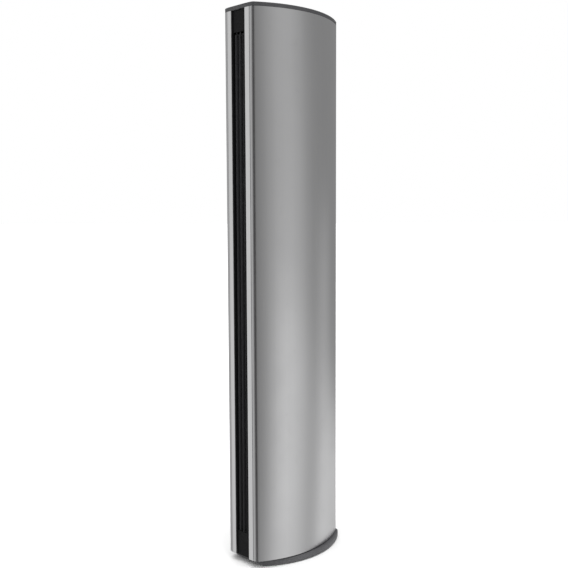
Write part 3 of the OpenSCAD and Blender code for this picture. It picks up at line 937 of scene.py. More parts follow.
@dataclass(frozen=True)
class Bend:
    """One arc of an outline seen from above, for the right side of the column.

    Attributes:
        x: X of its centre.
        y: Y of its centre.
        radius: Its radius.
        first: Direction of its first point from the centre, in radians from +X towards +Y.
        last: Direction of its last point.
    """

    x: float
    y: float
    radius: float
    first: float
    last: float

    def point(self, direction: float) -> Vector:
        """The point of the arc's circle in a direction."""
        ray = Vector((math.cos(direction), math.sin(direction)))
        return Vector((self.x, self.y)) + ray * self.radius

    def front_direction(self, x: float) -> float:
        """Direction of the circle's front point at an X."""
        return -math.acos((x - self.x) / self.radius)

    @property
    def steps(self) -> int:
        """Edges that keep the arc smooth."""
        sweep = abs(self.last - self.first)
        return max(math.ceil(sweep * self.radius / ARC_EDGE), math.ceil(sweep / ARC_TURN), 2)

    def trace(self, bm: BMesh, side: Side, z: float) -> list[BMVert]:
        """Draws the arc.

        Args:
            bm: Mesh that gets it.
            side: Side of the column, where the left one is mirrored.
            z: Height.

        Returns:
            Its vertices in order.
        """
        start = self.point(self.first)
        centre = Vector((side.value * self.x, self.y, z))
        sweep = side.value * (self.last - self.first)
        return spun_arc(bm, Vector((side.value * start.x, start.y, z)), centre, sweep, self.steps)


@dataclass(frozen=True)
class Lens:
    """Outline with two bowed sides and two flat ends, seen from above.

    Attributes:
        arc_x: X of the right side's arc centre; the left side's is opposite.
        radius: Radius of both arcs.
        half_depth: Half the distance between the flat ends.
        mid_y: Y of the middle.
    """

    arc_x: float
    radius: float
    half_depth: float
    mid_y: float

    @classmethod
    def around(cls, node: str) -> "Lens":
        """Reads the outline of a node that is a lens from above.

        Args:
            node: Name of the node.

        Returns:
            Its outline.
        """
        low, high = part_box(node)
        half = (high.y - low.y) / 2
        mid = (high.y + low.y) / 2
        mesh = bpy.data.objects[node].data
        flat = max(v.co.x for v in mesh.vertices if v.co.y < low.y + NEAR)
        bow = high.x - flat
        radius = (half * half + bow * bow) / (2 * bow)
        return cls(high.x - radius, radius, half, mid)

    @property
    def flat(self) -> float:
        """Half the width of the flat ends."""
        return self.arc_x + math.sqrt(self.radius**2 - self.half_depth**2)

    def corner(self, end: End, radius: float) -> Bend:
        """The arc that rounds the corner between the right bow and a flat end.

        Args:
            end: Which flat end.
            radius: Radius of the rounding.

        Returns:
            The arc, in the order front to rear.
        """
        reach = self.half_depth - radius
        across = math.sqrt((self.radius - radius) ** 2 - reach**2)
        meet = math.atan2(end.value * reach, across)
        flat = end.value * math.pi / 2
        order = (flat, meet) if end is End.FRONT else (meet, flat)
        return Bend(self.arc_x + across, self.mid_y + end.value * reach, radius, *order)

    def wrap(self, start: float, seam: float, tilt: float) -> tuple[Bend, Bend]:
        """The arcs in which the right side turns to the front: a shallow crown and the nose.

        Args:
            start: X where the crown leaves the flat front.
            seam: X where the nose takes over.
            tilt: How far the surface has turned there, in radians.

        Returns:
            The crown and the nose, which ends on the bow.
        """
        radius = (seam - start) / math.sin(tilt)
        crown_y = self.mid_y - self.half_depth + radius
        crown = Bend(start, crown_y, radius, -math.pi / 2, tilt - math.pi / 2)
        outwards = Vector((math.sin(tilt), -math.cos(tilt)))
        meet = crown.point(crown.last)
        arm = meet - Vector((self.arc_x, self.mid_y))
        nose = (self.radius**2 - arm.length_squared) / (2 * (self.radius - arm.dot(outwards)))
        centre = meet - outwards * nose
        last = math.atan2(centre.y - self.mid_y, centre.x - self.arc_x)
        return crown, Bend(centre.x, centre.y, nose, crown.last, last)

    def path(self, front: Sequence[Bend], rear: Bend) -> list[Bend]:
        """The arcs of the right side from front to rear, with the bow between them."""
        return [*front, Bend(self.arc_x, self.mid_y, self.radius, front[-1].last, rear.first), rear]

    def face(self, bm: BMesh, z: float, front: Sequence[Bend], rear: Bend) -> BMFace:
        """The whole outline as one face.

        Args:
            bm: Empty mesh that gets it.
            z: Height.
            front: Arcs of each front corner.
            rear: Arc of each rear corner.

        Returns:
            The face.
        """
        ends = []
        for side in Side:
            arcs = [bend.trace(bm, side, z) for bend in self.path(front, rear)]
            ends.append((arcs[0][0], arcs[-1][-1]))
        for pair in zip(*ends):
            bm.edges.new(pair)
        bmesh.ops.remove_doubles(bm, verts=bm.verts, dist=WELD)
        return bmesh.ops.contextual_create(bm, geom=list(bm.edges))["faces"][0]


def front_wrap() -> tuple[Lens, Bend, Bend]:
    """Outline of the column, with the crown of its trims and the nose of its sides.

    Returns:
        The outline, the crown and the nose.
    """
    lens = Lens.around("top_cap")
    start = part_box("right_trim")[0].x + TRIM_EDGE
    return (lens, *lens.wrap(start, lens.flat - NOSE_REACH, WRAP_TILT))


def pill_loop(
    bm: BMesh, centre: Vector, radius: float, length: float, steps: int = 24
) -> list[BMVert]:
    """A closed chain in the shape of a pill that lies along Y.

    Args:
        bm: Mesh that gets it.
        centre: Its middle.
        radius: Radius of its ends.
        length: Whole length.
        steps: Edges around each end.

    Returns:
        The vertices in order.
    """
    reach = Vector((0.0, length / 2 - radius, 0.0))
    out = Vector((radius, 0.0, 0.0))
    back = spun_arc(bm, centre + reach + out, centre + reach, math.pi, steps)
    front = spun_arc(bm, centre - reach - out, centre - reach, math.pi, steps)
    return join_chains(bm, [back, front])


def ring_loop(bm: BMesh, centre: Vector, radius: float, steps: int) -> list[BMVert]:
    """A closed circle of vertices that lies flat.

    Args:
        bm: Mesh that gets it.
        centre: Its centre.
        radius: Its radius.
        steps: Number of vertices.

    Returns:
        The vertices.
    """
    return bmesh.ops.create_circle(
        bm, cap_ends=False, radius=radius, segments=steps, matrix=Matrix.Translation(centre)
    )["verts"]


def loop_edges(verts: Iterable[BMVert]) -> list[BMEdge]:
    """The edges between the vertices of a loop."""
    inside = set(verts)
    return list({e for v in inside for e in v.link_edges if e.other_vert(v) in inside})


def open_face(bm: BMesh, face: BMFace, loop: Sequence[BMVert]) -> None:
    """Makes a hole in a flat face.

    Args:
        bm: Mesh that holds both.
        face: The face.
        loop: Closed loop inside it, which becomes the hole's rim.
    """
    rim = list(face.edges)
    normal = face.normal.copy()
    bmesh.ops.delete(bm, geom=[face], context="FACES_ONLY")
    edges = [*rim, *loop_edges(loop)]
    bmesh.ops.triangle_fill(bm, edges=edges, use_beauty=True, use_dissolve=False, normal=normal)


Outline = list[tuple[float, float]]


def lathe(bm: BMesh, outline: Outline, centre: Vector, axis: Vector, steps: int) -> None:
    """Turns an outline about an axis into a closed solid.

    Args:
        bm: Mesh that gets the solid.
        outline: Radius and distance along the axis of each point. It closes on itself if its
            ends are off the axis.
        centre: Point on the axis that the distances start from.
        axis: Direction of the axis.
        steps: Sides of the turned solid.
    """
    across = axis.orthogonal().normalized()
    chain = [bm.verts.new(centre + across * r + axis * h) for r, h in outline]
    edges = [bm.edges.new(pair) for pair in zip(chain, chain[1:])]
    if min(outline[0][0], outline[-1][0]) > NEAR:
        edges.append(bm.edges.new((chain[-1], chain[0])))
    bmesh.ops.spin(
        bm,
        geom=[*chain, *edges],
        cent=centre,
        axis=axis,
        angle=2 * math.pi,
        steps=steps,
        use_merge=True,
        use_duplicate=False,
    )
    tidy(bm)


def rod_outline(radius: float, start: float, stop: float, chamfer: float) -> Outline:
    """Outline of a round rod with broken edges, for the lathe.

    Args:
        radius: Radius of the rod.
        start: Place of one end along the axis.
        stop: Place of the other end.
        chamfer: Size of the broken edges.

    Returns:
        The outline.
    """
    return [
        (0.0, start),
        (radius - chamfer, start),
        (radius, start + chamfer),
        (radius, stop - chamfer),
        (radius - chamfer, stop),
        (0.0, stop),
    ]


def absorb(bm: BMesh, other: BMesh) -> None:
    """Moves another mesh into this one.

    Args:
        bm: Mesh that grows.
        other: Mesh that is used up.
    """
    carrier = bpy.data.meshes.new("carrier")
    other.to_mesh(carrier)
    other.free()
    bm.from_mesh(carrier)
    bpy.data.meshes.remove(carrier)


def round_solids(node: str) -> list[tuple[Vector, float]]:
    """Finds the separate round solids of a CAD node.

    Args:
        node: Name of the node.

    Returns:
        Centre and radius of each solid.
    """
    bm = bmesh.new()
    bm.from_mesh(bpy.data.objects[node].data)
    bmesh.ops.remove_doubles(bm, verts=bm.verts, dist=SLIVER)
    left = set(bm.verts)
    found = []
    while left:
        stack = [left.pop()]
        group = list(stack)
        while stack:
            for edge in stack.pop().link_edges:
                for vert in edge.verts:
                    if vert in left:
                        left.remove(vert)
                        stack.append(vert)
                        group.append(vert)
        spans = [(min(v.co[i] for v in group), max(v.co[i] for v in group)) for i in range(3)]
        centre = Vector([(low + high) / 2 for low, high in spans])
        found.append((centre, (spans[0][1] - spans[0][0]) / 2))
    bm.free()
    return sorted(found, key=lambda solid: [round(place, 5) for place in solid[0]])


@dataclass
class Workshop:
    """Turns meshes into pieces that ride on the frame.

    Attributes:
        finishes: Materials by slot name.
        made: Names of the pieces made so far.
    """

    finishes: dict[str, bpy.types.Material]
    made: list[str] = field(default_factory=list)

    def piece(
        self,
        name: str,
        bm: BMesh,
        slot: str,
        body: str,
        replaces: Sequence[str] = (),
        finish: str = "",
        smooth_below: float = 32.0,
        clean: bool = True,
    ) -> bpy.types.Object:
        """Finishes a mesh and mounts it on a body.

        Args:
            name: Name of the piece.
            bm: Its mesh, which is used up.
            slot: Material slot of the record.
            body: CAD body that it rides on.
            replaces: CAD nodes that it stands for.
            finish: Finish, if it isn't the one named like the slot.
            smooth_below: Edges that turn less than this, in degrees, are shaded smooth.
            clean: Whether doubles are merged and normals turned outwards.

        Returns:
            The piece.
        """
        if clean:
            tidy(bm)
        mesh = bpy.data.meshes.new(name)
        bm.to_mesh(mesh)
        bm.free()
        mesh.materials.append(self.finishes[finish or slot])
        for polygon in mesh.polygons:
            polygon.use_smooth = True
        mesh.set_sharp_from_angle(angle=math.radians(smooth_below))
        obj = bpy.data.objects.new(name, mesh)
        bpy.context.scene.collection.objects.link(obj)
        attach(obj, body)
        if replaces:
            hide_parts(*replaces)
        self.made.append(name)
        LOG.info("made %s on %s: %d faces", name, body, len(mesh.polygons))
        return obj

    def dress(self, slot: str, *nodes: str) -> None:
        """Gives CAD nodes a finish.

        Args:
            slot: Material slot of the record.
            nodes: Names of the nodes.
        """
        for node in nodes:
            obj = bpy.data.objects[node]
            for material_slot in obj.material_slots:
                material_slot.material = self.finishes[slot]
            if not obj.material_slots:
                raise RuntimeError(f"{node} has no material slot")
            LOG.info("dressed %s in %s", node, slot)


# ---- Sub-assemblies ----


@dataclass
class Base:
    """The flat foot of the fan, with its feet, gland and floor plate.

    Attributes:
        corner: Rounding of the four upright corners.
        rim: Rounding of the top edge.
        foot_edge: Rounding of each foot.
        wall: Thickness of the cover's walls.
        top: Thickness of the cover's top.
        post_hole: Radius of the hole for the post, 0.2 mm clear of it.
        sole_dish: Depth of the dish in a foot's sole.
        lead_bore: Radius of the gland's hole for the lead.
        gland_sleeve: Radius of the gland where it passes through the wall.
        gland_flange: Thickness of the gland's flange.
    """

    corner: float = 9 * MM
    rim: float = 2.6 * MM
    foot_edge: float = 0.7 * MM
    wall: float = 2.5 * MM
    top: float = 3 * MM
    post_hole: float = 16.2 * MM
    sole_dish: float = 0.5 * MM
    lead_bore: float = 3.2 * MM
    gland_sleeve: float = 4.4 * MM
    gland_flange: float = 1.5 * MM

    def build(self, shop: Workshop) -> None:
        """Builds and dresses the base.

        Args:
            shop: Workshop that mounts the pieces.
        """
        self._cover(shop)
        self._feet(shop)
        self._gland(shop)
        shop.dress("base_black", "base_floor")
        shop.dress("weight_iron", "base_weight")
        shop.dress("steel", "base_screws", "post_screws", "gear_clip", "swing_post")
        shop.dress("gear_plastic", "swing_gear", "thrust_ring")

    def _cover(self, shop: Workshop) -> None:
        """The cover: a hollow pan with a rounded rim and a hole for the post.

        Args:
            shop: Workshop that mounts the piece.
        """
        low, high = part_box("base_cover")
        lens = Lens.around("base_cover")
        ceiling = high.z - self.top
        post_low, post_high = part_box("swing_post")
        post = (post_low + post_high) / 2
        bm = bmesh.new()
        corners = [lens.corner(end, self.corner) for end in End]
        face = lens.face(bm, low.z, corners[:1], corners[1])
        thicken(bm, [face], UP * (high.z - low.z))
        bmesh.ops.recalc_face_normals(bm, faces=bm.faces)
        bevel_edges(bm, [e for e in bm.edges if level_at(e, high.z)], self.rim, 5)
        # The hollow: the underside is inset by the wall and pushed up
        bm.faces.ensure_lookup_table()
        under = min(bm.faces, key=lambda f: f.calc_center_median().z)
        bmesh.ops.recalc_face_normals(bm, faces=bm.faces)
        bmesh.ops.inset_region(bm, faces=[under], thickness=self.wall, use_even_offset=True)
        hollow = bmesh.ops.extrude_face_region(bm, geom=[under])["geom"]
        shift(bm, hollow, UP * (ceiling - low.z))
        bmesh.ops.delete(bm, geom=[under], context="FACES_ONLY")
        self._post_hole(bm, post, high.z, ceiling)
        shop.piece("base_cover_shell", bm, "base_black", "base", ["base_cover"])

    def _post_hole(self, bm: BMesh, centre: Vector, top: float, under: float) -> None:
        """Cuts the round hole for the post through the top of the cover.

        Args:
            bm: Mesh of the cover.
            centre: Centre of the hole.
            top: Height of the cover's top.
            under: Height of the top's underside.
        """
        loops = []
        for z in (top, under):
            level = (f for f in bm.faces if all(level_at(e, z) for e in f.edges))
            face = max(level, key=lambda f: f.calc_area())
            hole = ring_loop(bm, Vector((centre.x, centre.y, z)), self.post_hole, 64)
            open_face(bm, face, hole)
            loops.append(hole)
        bmesh.ops.bridge_loops(bm, edges=[e for loop in loops for e in loop_edges(loop)])

    def _feet(self, shop: Workshop) -> None:
        """Six rubber feet, each a rounded disc with a shallow ring in its sole.

        Args:
            shop: Workshop that mounts the piece.
        """
        solids = round_solids("base_feet")
        low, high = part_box("base_feet")
        bm = bmesh.new()
        radius = solids[0][1]
        sole = low.z
        outline = [
            (0.0, sole + self.sole_dish),
            (radius * 0.5, sole + self.sole_dish),
            (radius * 0.62, sole),
            (radius - self.foot_edge, sole),
            (radius - self.foot_edge * 0.3, sole + self.foot_edge * 0.3),
            (radius, sole + self.foot_edge),
            (radius, high.z),
            (0.0, high.z),
        ]
        for centre, _ in solids:
            one = bmesh.new()
            lathe(one, outline, Vector((centre.x, centre.y, 0)), UP, 40)
            absorb(bm, one)
        shop.piece("rubber_feet", bm, "rubber_black", "base", ["base_feet"])

    def _gland(self, shop: Workshop) -> None:
        """The rubber gland that the lead leaves through, with a rounded flange.

        Args:
            shop: Workshop that mounts the piece.
        """
        low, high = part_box("cord_gland")
        centre = Vector((0.0, high.y, (low.z + high.z) / 2))
        flange = (high.z - low.z) / 2
        length = high.y - low.y
        outline = [
            (self.lead_bore, 0.6 * MM),
            (self.lead_bore + 0.6 * MM, 0.0),
            (flange - 0.5 * MM, 0.0),
            (flange - 0.15 * MM, 0.15 * MM),
            (flange, 0.5 * MM),
            (flange, self.gland_flange),
            (self.gland_sleeve, self.gland_flange),
            (self.gland_sleeve, length),
            (self.lead_bore, length),
        ]
        bm = bmesh.new()
        lathe(bm, outline, centre, Vector((0.0, -1.0, 0.0)), 40)
        shop.piece("lead_gland_rubber", bm, "rubber_black", "base", ["cord_gland"])


@dataclass
class Skins:
    """The two curved metal sides, the bright trims and the rear grille.

    Attributes:
        side_wall: Thickness of the sides.
        rear_lip: How far the turned edge reaches over the rear face.
        trim_wall: Thickness of the trims.
        side_edge: Rounding of a side's ends and edges.
        trim_edge: Rounding of a trim's edge at the slot.
        trim_rim: Rounding of its other edges.
        slot_rim: Rounding of the grille's slots and outline.
        fold: Turn in degrees past which the edge of a side is broken.
        screw: Radius of the grille's screws.
        screw_gap: Gap round each of them.
        columns: Slots across the grille.
        rows: Slots up the grille.
        pitch: Distance between columns.
        slot: Width of a slot.
        tie: Height of the bar between two rows.
    """

    side_wall: float = 2 * MM
    rear_lip: float = 2.5 * MM
    trim_wall: float = 1.6 * MM
    side_edge: float = 0.35 * MM
    trim_edge: float = 0.8 * MM
    trim_rim: float = 0.3 * MM
    slot_rim: float = 0.45 * MM
    fold: float = 50.0
    screw: float = 1.6 * MM
    screw_gap: float = 0.1 * MM
    columns: int = 7
    rows: int = 11
    pitch: float = 9 * MM
    slot: float = 6 * MM
    tie: float = 8 * MM

    def build(self, shop: Workshop) -> None:
        """Builds the skins.

        Args:
            shop: Workshop that mounts the pieces.
        """
        for side in Side:
            self._side(shop, side)
            self._trim(shop, side)
        self._grille(shop)
        self._grille_screws(shop)

    def _side(self, shop: Workshop, side: Side) -> None:
        """One curved metal side, with a nose to the front and a narrow lip at the rear.

        Args:
            shop: Workshop that mounts the piece.
            side: Side of the column that it is on.
        """
        node = f"{side.name.lower()}_side"
        low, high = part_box(node)
        lens, crown, nose = front_wrap()
        lip = replace(crown, first=crown.front_direction(min(abs(low.x), abs(high.x))))
        path = lens.path([lip, nose], lens.corner(End.REAR, REAR_CORNER))
        bm = bmesh.new()
        arcs = [bend.trace(bm, side, low.z) for bend in path]
        last = arcs[-1][-1]
        tip = bm.verts.new((side.value * (lens.flat - self.rear_lip), last.co.y, low.z))
        bm.edges.new((last, tip))
        bmesh.ops.remove_doubles(bm, verts=bm.verts, dist=WELD)
        up = bmesh.ops.extrude_edge_only(bm, edges=list(bm.edges))["geom"]
        shift(bm, up, UP * (high.z - low.z))
        bmesh.ops.recalc_face_normals(bm, faces=bm.faces)
        outwards = max(bm.faces, key=lambda f: abs(f.calc_center_median().x))
        if outwards.normal.x * side.value < 0:
            bmesh.ops.reverse_faces(bm, faces=bm.faces)
        bmesh.ops.solidify(bm, geom=list(bm.faces), thickness=self.side_wall)
        tidy(bm)
        bevel_edges(bm, sharp_edges(bm, self.fold), self.side_edge, 2)
        shop.piece(f"{node}_skin", bm, "side_metal", "column", [node])

    def _trim(self, shop: Workshop, side: Side) -> None:
        """One bright trim: a crowned strip that turns back into the slot.

        Args:
            shop: Workshop that mounts the piece.
            side: Side of the column that it is on.
        """
        node = f"{side.name.lower()}_trim"
        low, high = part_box(node)
        inner, outer = sorted((abs(low.x), abs(high.x)))
        _, crown, _ = front_wrap()
        face = replace(crown, last=crown.front_direction(outer))
        back = replace(crown, radius=crown.radius - self.trim_wall)
        back = replace(back, first=face.last, last=back.front_direction(inner + self.trim_wall))
        bm = bmesh.new()
        flip = side.value
        leg = [bm.verts.new((flip * inner, y, low.z)) for y in (high.y, low.y)]
        inside = [bm.verts.new((flip * (inner + self.trim_wall), high.y, low.z))]
        chains = [leg, face.trace(bm, side, low.z), back.trace(bm, side, low.z), inside]
        thicken(bm, [bm.faces.new(join_chains(bm, chains))], UP * (high.z - low.z))
        tidy(bm)
        slot_edge = [e for e in bm.edges if upright(e) and self._at(e, flip * inner, low.y)]
        bevel_edges(bm, slot_edge, self.trim_edge, 5)
        bevel_edges(bm, sharp_edges(bm, CORNER), self.trim_rim, 2)
        shop.piece(f"{node}_strip", bm, "trim_metal", "column", [node])

    @staticmethod
    def _at(edge: BMEdge, x: float, y: float) -> bool:
        """Whether an upright edge stands at a point."""
        return (edge.verts[0].co.xy - Vector((x, y))).length < NEAR

    def _grille(self, shop: Workshop) -> None:
        """The rear grille: a plate with rows of upright round-ended slots and screw holes.

        Args:
            shop: Workshop that mounts the piece.
        """
        low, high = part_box("intake_grille")
        duct_low, duct_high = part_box("scroll_wall")
        row = (duct_high.z - duct_low.z - self.tie) / self.rows
        bm = bmesh.new()
        width, tall = high.x - low.x, high.z - low.z
        sheet = bmesh.ops.create_grid(bm, x_segments=1, y_segments=1, size=0.5)["verts"]
        bmesh.ops.delete(bm, geom=list(bm.faces), context="FACES_ONLY")
        bmesh.ops.scale(bm, verts=sheet, vec=(width, tall, 1))
        bmesh.ops.translate(bm, verts=sheet, vec=(0, (low.z + high.z) / 2, 0))
        for column in range(self.columns):
            x = (column - (self.columns - 1) / 2) * self.pitch
            for step in range(self.rows):
                z = duct_low.z + self.tie + step * row + (row - self.tie) / 2
                pill_loop(bm, Vector((x, z, 0)), self.slot / 2, row - self.tie, 6)
        for centre, _ in round_solids("grille_screws"):
            ring_loop(bm, Vector((centre.x, centre.z, 0)), self.screw + self.screw_gap, 20)
        edges = list(bm.edges)
        bmesh.ops.triangle_fill(bm, edges=edges, use_beauty=True, use_dissolve=False, normal=UP)
        thicken(bm, bm.faces, UP * (high.y - low.y))
        stand = Matrix.Rotation(math.radians(90), 3, "X")
        bmesh.ops.rotate(bm, verts=bm.verts, cent=(0, 0, 0), matrix=stand)
        bmesh.ops.translate(bm, verts=bm.verts, vec=(0, high.y, 0))
        tidy(bm)
        corners = sharp_edges(bm, CORNER)
        rims = [e for e in corners if all(abs(v.co.y - high.y) < NEAR for v in e.verts)]
        bevel_edges(bm, rims, self.slot_rim, 2)
        shop.piece("intake_grille_plate", bm, "grille_black", "column", ["intake_grille"])

    def _grille_screws(self, shop: Workshop) -> None:
        """The ends of the screws that hold the grille from inside, rounded and flush with it.

        Args:
            shop: Workshop that mounts the piece.
        """
        low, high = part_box("grille_screws")
        radius = self.screw
        outline = [
            (0.0, 0.0),
            (radius - 0.4 * MM, 0.0),
            (radius - 0.1 * MM, 0.12 * MM),
            (radius, 0.4 * MM),
            (radius, high.y - low.y),
            (0.0, high.y - low.y),
        ]
        bm = bmesh.new()
        for centre, _ in round_solids("grille_screws"):
            one = bmesh.new()
            lathe(one, outline, Vector((centre.x, high.y, centre.z)), Vector((0.0, -1.0, 0.0)), 24)
            absorb(bm, one)
        shop.piece("grille_screw_ends", bm, "steel", "column", ["grille_screws"])


@dataclass
class Outlet:
    """The black frame in the slot, its guard and the three vanes with their link.

    Attributes:
        chord: Depth of a vane.
        thick: Thickness of a vane in its middle.
        pin: Radius and length of the pins that a vane turns on.
        crank: Width, reach and thickness of its crank.
        crank_pin: Radius and length of the crank's pin.
        head: Length between a vane's top and the bottom of its upper pin's hole.
        steps: Edges along each side of a vane.
        pin_edge: Size of the broken edge of a pin.
        crank_edge: Rounding of the crank.
        tip: Rounding of the blade's two long edges.
        tip_turn: Turn in radians past which such an edge is rounded.
        end_edge: Rounding of the blade's ends.
    """

    chord: float = 11 * MM
    thick: float = 2.2 * MM
    pin: tuple[float, float] = (1.5 * MM, 6 * MM)
    crank: tuple[float, float, float] = (3.4 * MM, 4.4 * MM, 2 * MM)
    crank_pin: tuple[float, float] = (1.2 * MM, 2.6 * MM)
    head: float = 4.4 * MM
    steps: int = 14
    pin_edge: float = 0.25 * MM
    crank_edge: float = 0.2 * MM
    tip: float = 0.3 * MM
    tip_turn: float = 0.3
    end_edge: float = 0.25 * MM

    def build(self, shop: Workshop) -> None:
        """Builds the outlet.

        Args:
            shop: Workshop that mounts the pieces.
        """
        for name in ("left_vane", "middle_vane", "right_vane"):
            self._vane(shop, name)
        # The frame, guard and link wear a black far darker than the plastic's own: painted shade of
        # the deep slot.
        shop.dress("outlet_black", "outlet_frame", "outlet_guard", "vane_link")

    def _vane(self, shop: Workshop, node: str) -> None:
        """One vane: a lens-shaped blade with pins, a crank and its pin.

        Args:
            shop: Workshop that mounts the piece.
            node: Name of the vane's node and body.
        """
        low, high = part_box(node)
        half = self.chord / 2
        axis = Vector(((low.x + high.x) / 2, low.y + half, 0.0))
        pin_radius, pin_length = self.pin
        bottom = low.z + pin_length
        top = high.z - pin_length - self.head
        bm = bmesh.new()
        self._blade(bm, axis, bottom, top)
        width, reach, deep = self.crank
        pins = (
            (axis, pin_radius, low.z, bottom + MM),
            (axis, pin_radius, top - MM, high.z),
            (axis + Vector((0, reach, 0)), self.crank_pin[0], top - MM, top + self.crank_pin[1]),
        )
        for centre, radius, start, stop in pins:
            one = bmesh.new()
            lathe(one, rod_outline(radius, start, stop, self.pin_edge), centre, UP, 24)
            absorb(bm, one)
        one = bmesh.new()
        middle = axis + Vector((0.0, reach / 2, top - deep))
        loop = pill_loop(one, middle, width / 2, reach + width, 12)
        thicken(one, [one.faces.new(loop)], UP * deep)
        tidy(one)
        bevel_edges(one, sharp_edges(one, CORNER), self.crank_edge, 2)
        absorb(bm, one)
        # The blade wears a lighter copy of the slot's black plastic: painted light on the vanes.
        shop.piece(f"{node}_blade", bm, "outlet_black", node, [node], "vane_black", clean=False)

    def _blade(self, bm: BMesh, axis: Vector, bottom: float, top: float) -> None:
        """The blade of a vane, with rounded tips and rims.

        Args:
            bm: Mesh that gets it.
            axis: A point on the axis that it turns on.
            bottom: Height of its lower end.
            top: Height of its upper end.
        """
        half = self.chord / 2
        radius = (half**2 + (self.thick / 2) ** 2) / self.thick
        sweep = 2 * math.asin(half / radius)
        for sign in (1, -1):
            start = Vector((axis.x, axis.y - sign * half, bottom))
            centre = Vector((axis.x - sign * (radius - self.thick / 2), axis.y, bottom))
            spun_arc(bm, start, centre, sweep, self.steps)
        bmesh.ops.remove_doubles(bm, verts=bm.verts, dist=WELD)
        face = bmesh.ops.contextual_create(bm, geom=list(bm.edges))["faces"][0]
        thicken(bm, [face], UP * (top - bottom))
        tidy(bm)
        tips = [e for e in bm.edges if upright(e) and abs(e.verts[0].co.x - axis.x) < NEAR]
        tips = [e for e in tips if e.calc_face_angle(0.0) > self.tip_turn]
        bevel_edges(bm, tips, self.tip, 4)
        bevel_edges(bm, sharp_edges(bm, CORNER), self.end_edge, 2)


@dataclass(frozen=True)
class Mark:
    """Generic sign on a button, drawn with strokes.

    Attributes:
        bars: X, Y, length and direction in degrees from Y of each straight stroke.
        arcs: Radius, first angle and sweep in degrees of each curved stroke.
        width: Width of the strokes.
        height: Height of the strokes.
        sunk: How far their feet are below the rim of the key.
    """

    bars: tuple[tuple[float, float, float, float], ...] = ()
    arcs: tuple[tuple[float, float, float], ...] = ()
    width: float = 0.7 * MM
    height: float = 0.3 * MM
    sunk: float = 0.5 * MM

    def bar(self, middle: Vector, stroke: tuple[float, float, float, float]) -> BMesh:
        """A straight stroke with round ends.

        Args:
            middle: Centre of the button.
            stroke: X, Y, length and direction in degrees from Y.

        Returns:
            The stroke as a solid.
        """
        x, y, length, turn = stroke
        bm = bmesh.new()
        loop = pill_loop(bm, Vector(), self.width / 2, length, 8)
        thicken(bm, [bm.faces.new(loop)], UP * self.height)
        turned = Matrix.Rotation(math.radians(turn), 4, "Z")
        matrix = Matrix.Translation(middle + Vector((x, y, 0))) @ turned
        bmesh.ops.transform(bm, matrix=matrix, verts=bm.verts)
        tidy(bm)
        return bm

    def arc(self, middle: Vector, stroke: tuple[float, float, float]) -> BMesh:
        """A curved stroke about the middle of the button.

        Args:
            middle: Centre of the button.
            stroke: Radius, first angle and sweep in degrees.

        Returns:
            The stroke as a solid.
        """
        radius, first, sweep = stroke
        angle = math.radians(first)
        ray = Vector((math.cos(angle), math.sin(angle), 0.0))
        bm = bmesh.new()
        ends = [bm.verts.new(middle + ray * (radius + s * self.width / 2)) for s in (-1, 1)]
        edge = bm.edges.new(ends)
        bmesh.ops.spin(
            bm,
            geom=[*ends, edge],
            cent=middle,
            axis=UP,
            angle=math.radians(sweep),
            steps=28,
            use_duplicate=False,
        )
        thicken(bm, bm.faces, UP * self.height)
        tidy(bm)
        return bm


KEY_MARKS = {
    "power": Mark(bars=((0.0, 1.9 * MM, 2.6 * MM, 0.0),), arcs=((2.6 * MM, 125.0, 290.0),)),
    "speed": Mark(
        bars=(
            (-1.7 * MM, -0.9 * MM, 1.6 * MM, 0.0),
            (0.0, -0.3 * MM, 2.8 * MM, 0.0),
            (1.7 * MM, 0.3 * MM, 4.0 * MM, 0.0),
        )
    ),
    "swing": Mark(
        bars=((-2.6 * MM, 1.1 * MM, 1.5 * MM, 0.0), (2.6 * MM, 1.1 * MM, 1.5 * MM, 0.0)),
        arcs=((2.6 * MM, 190.0, 160.0),),
    ),
    "timer": Mark(
        bars=((0.0, 0.8 * MM, 2.2 * MM, 0.0), (0.6 * MM, 0.0, 1.9 * MM, 90.0)),
        arcs=((2.7 * MM, 0.0, 350.0),),
    ),
}


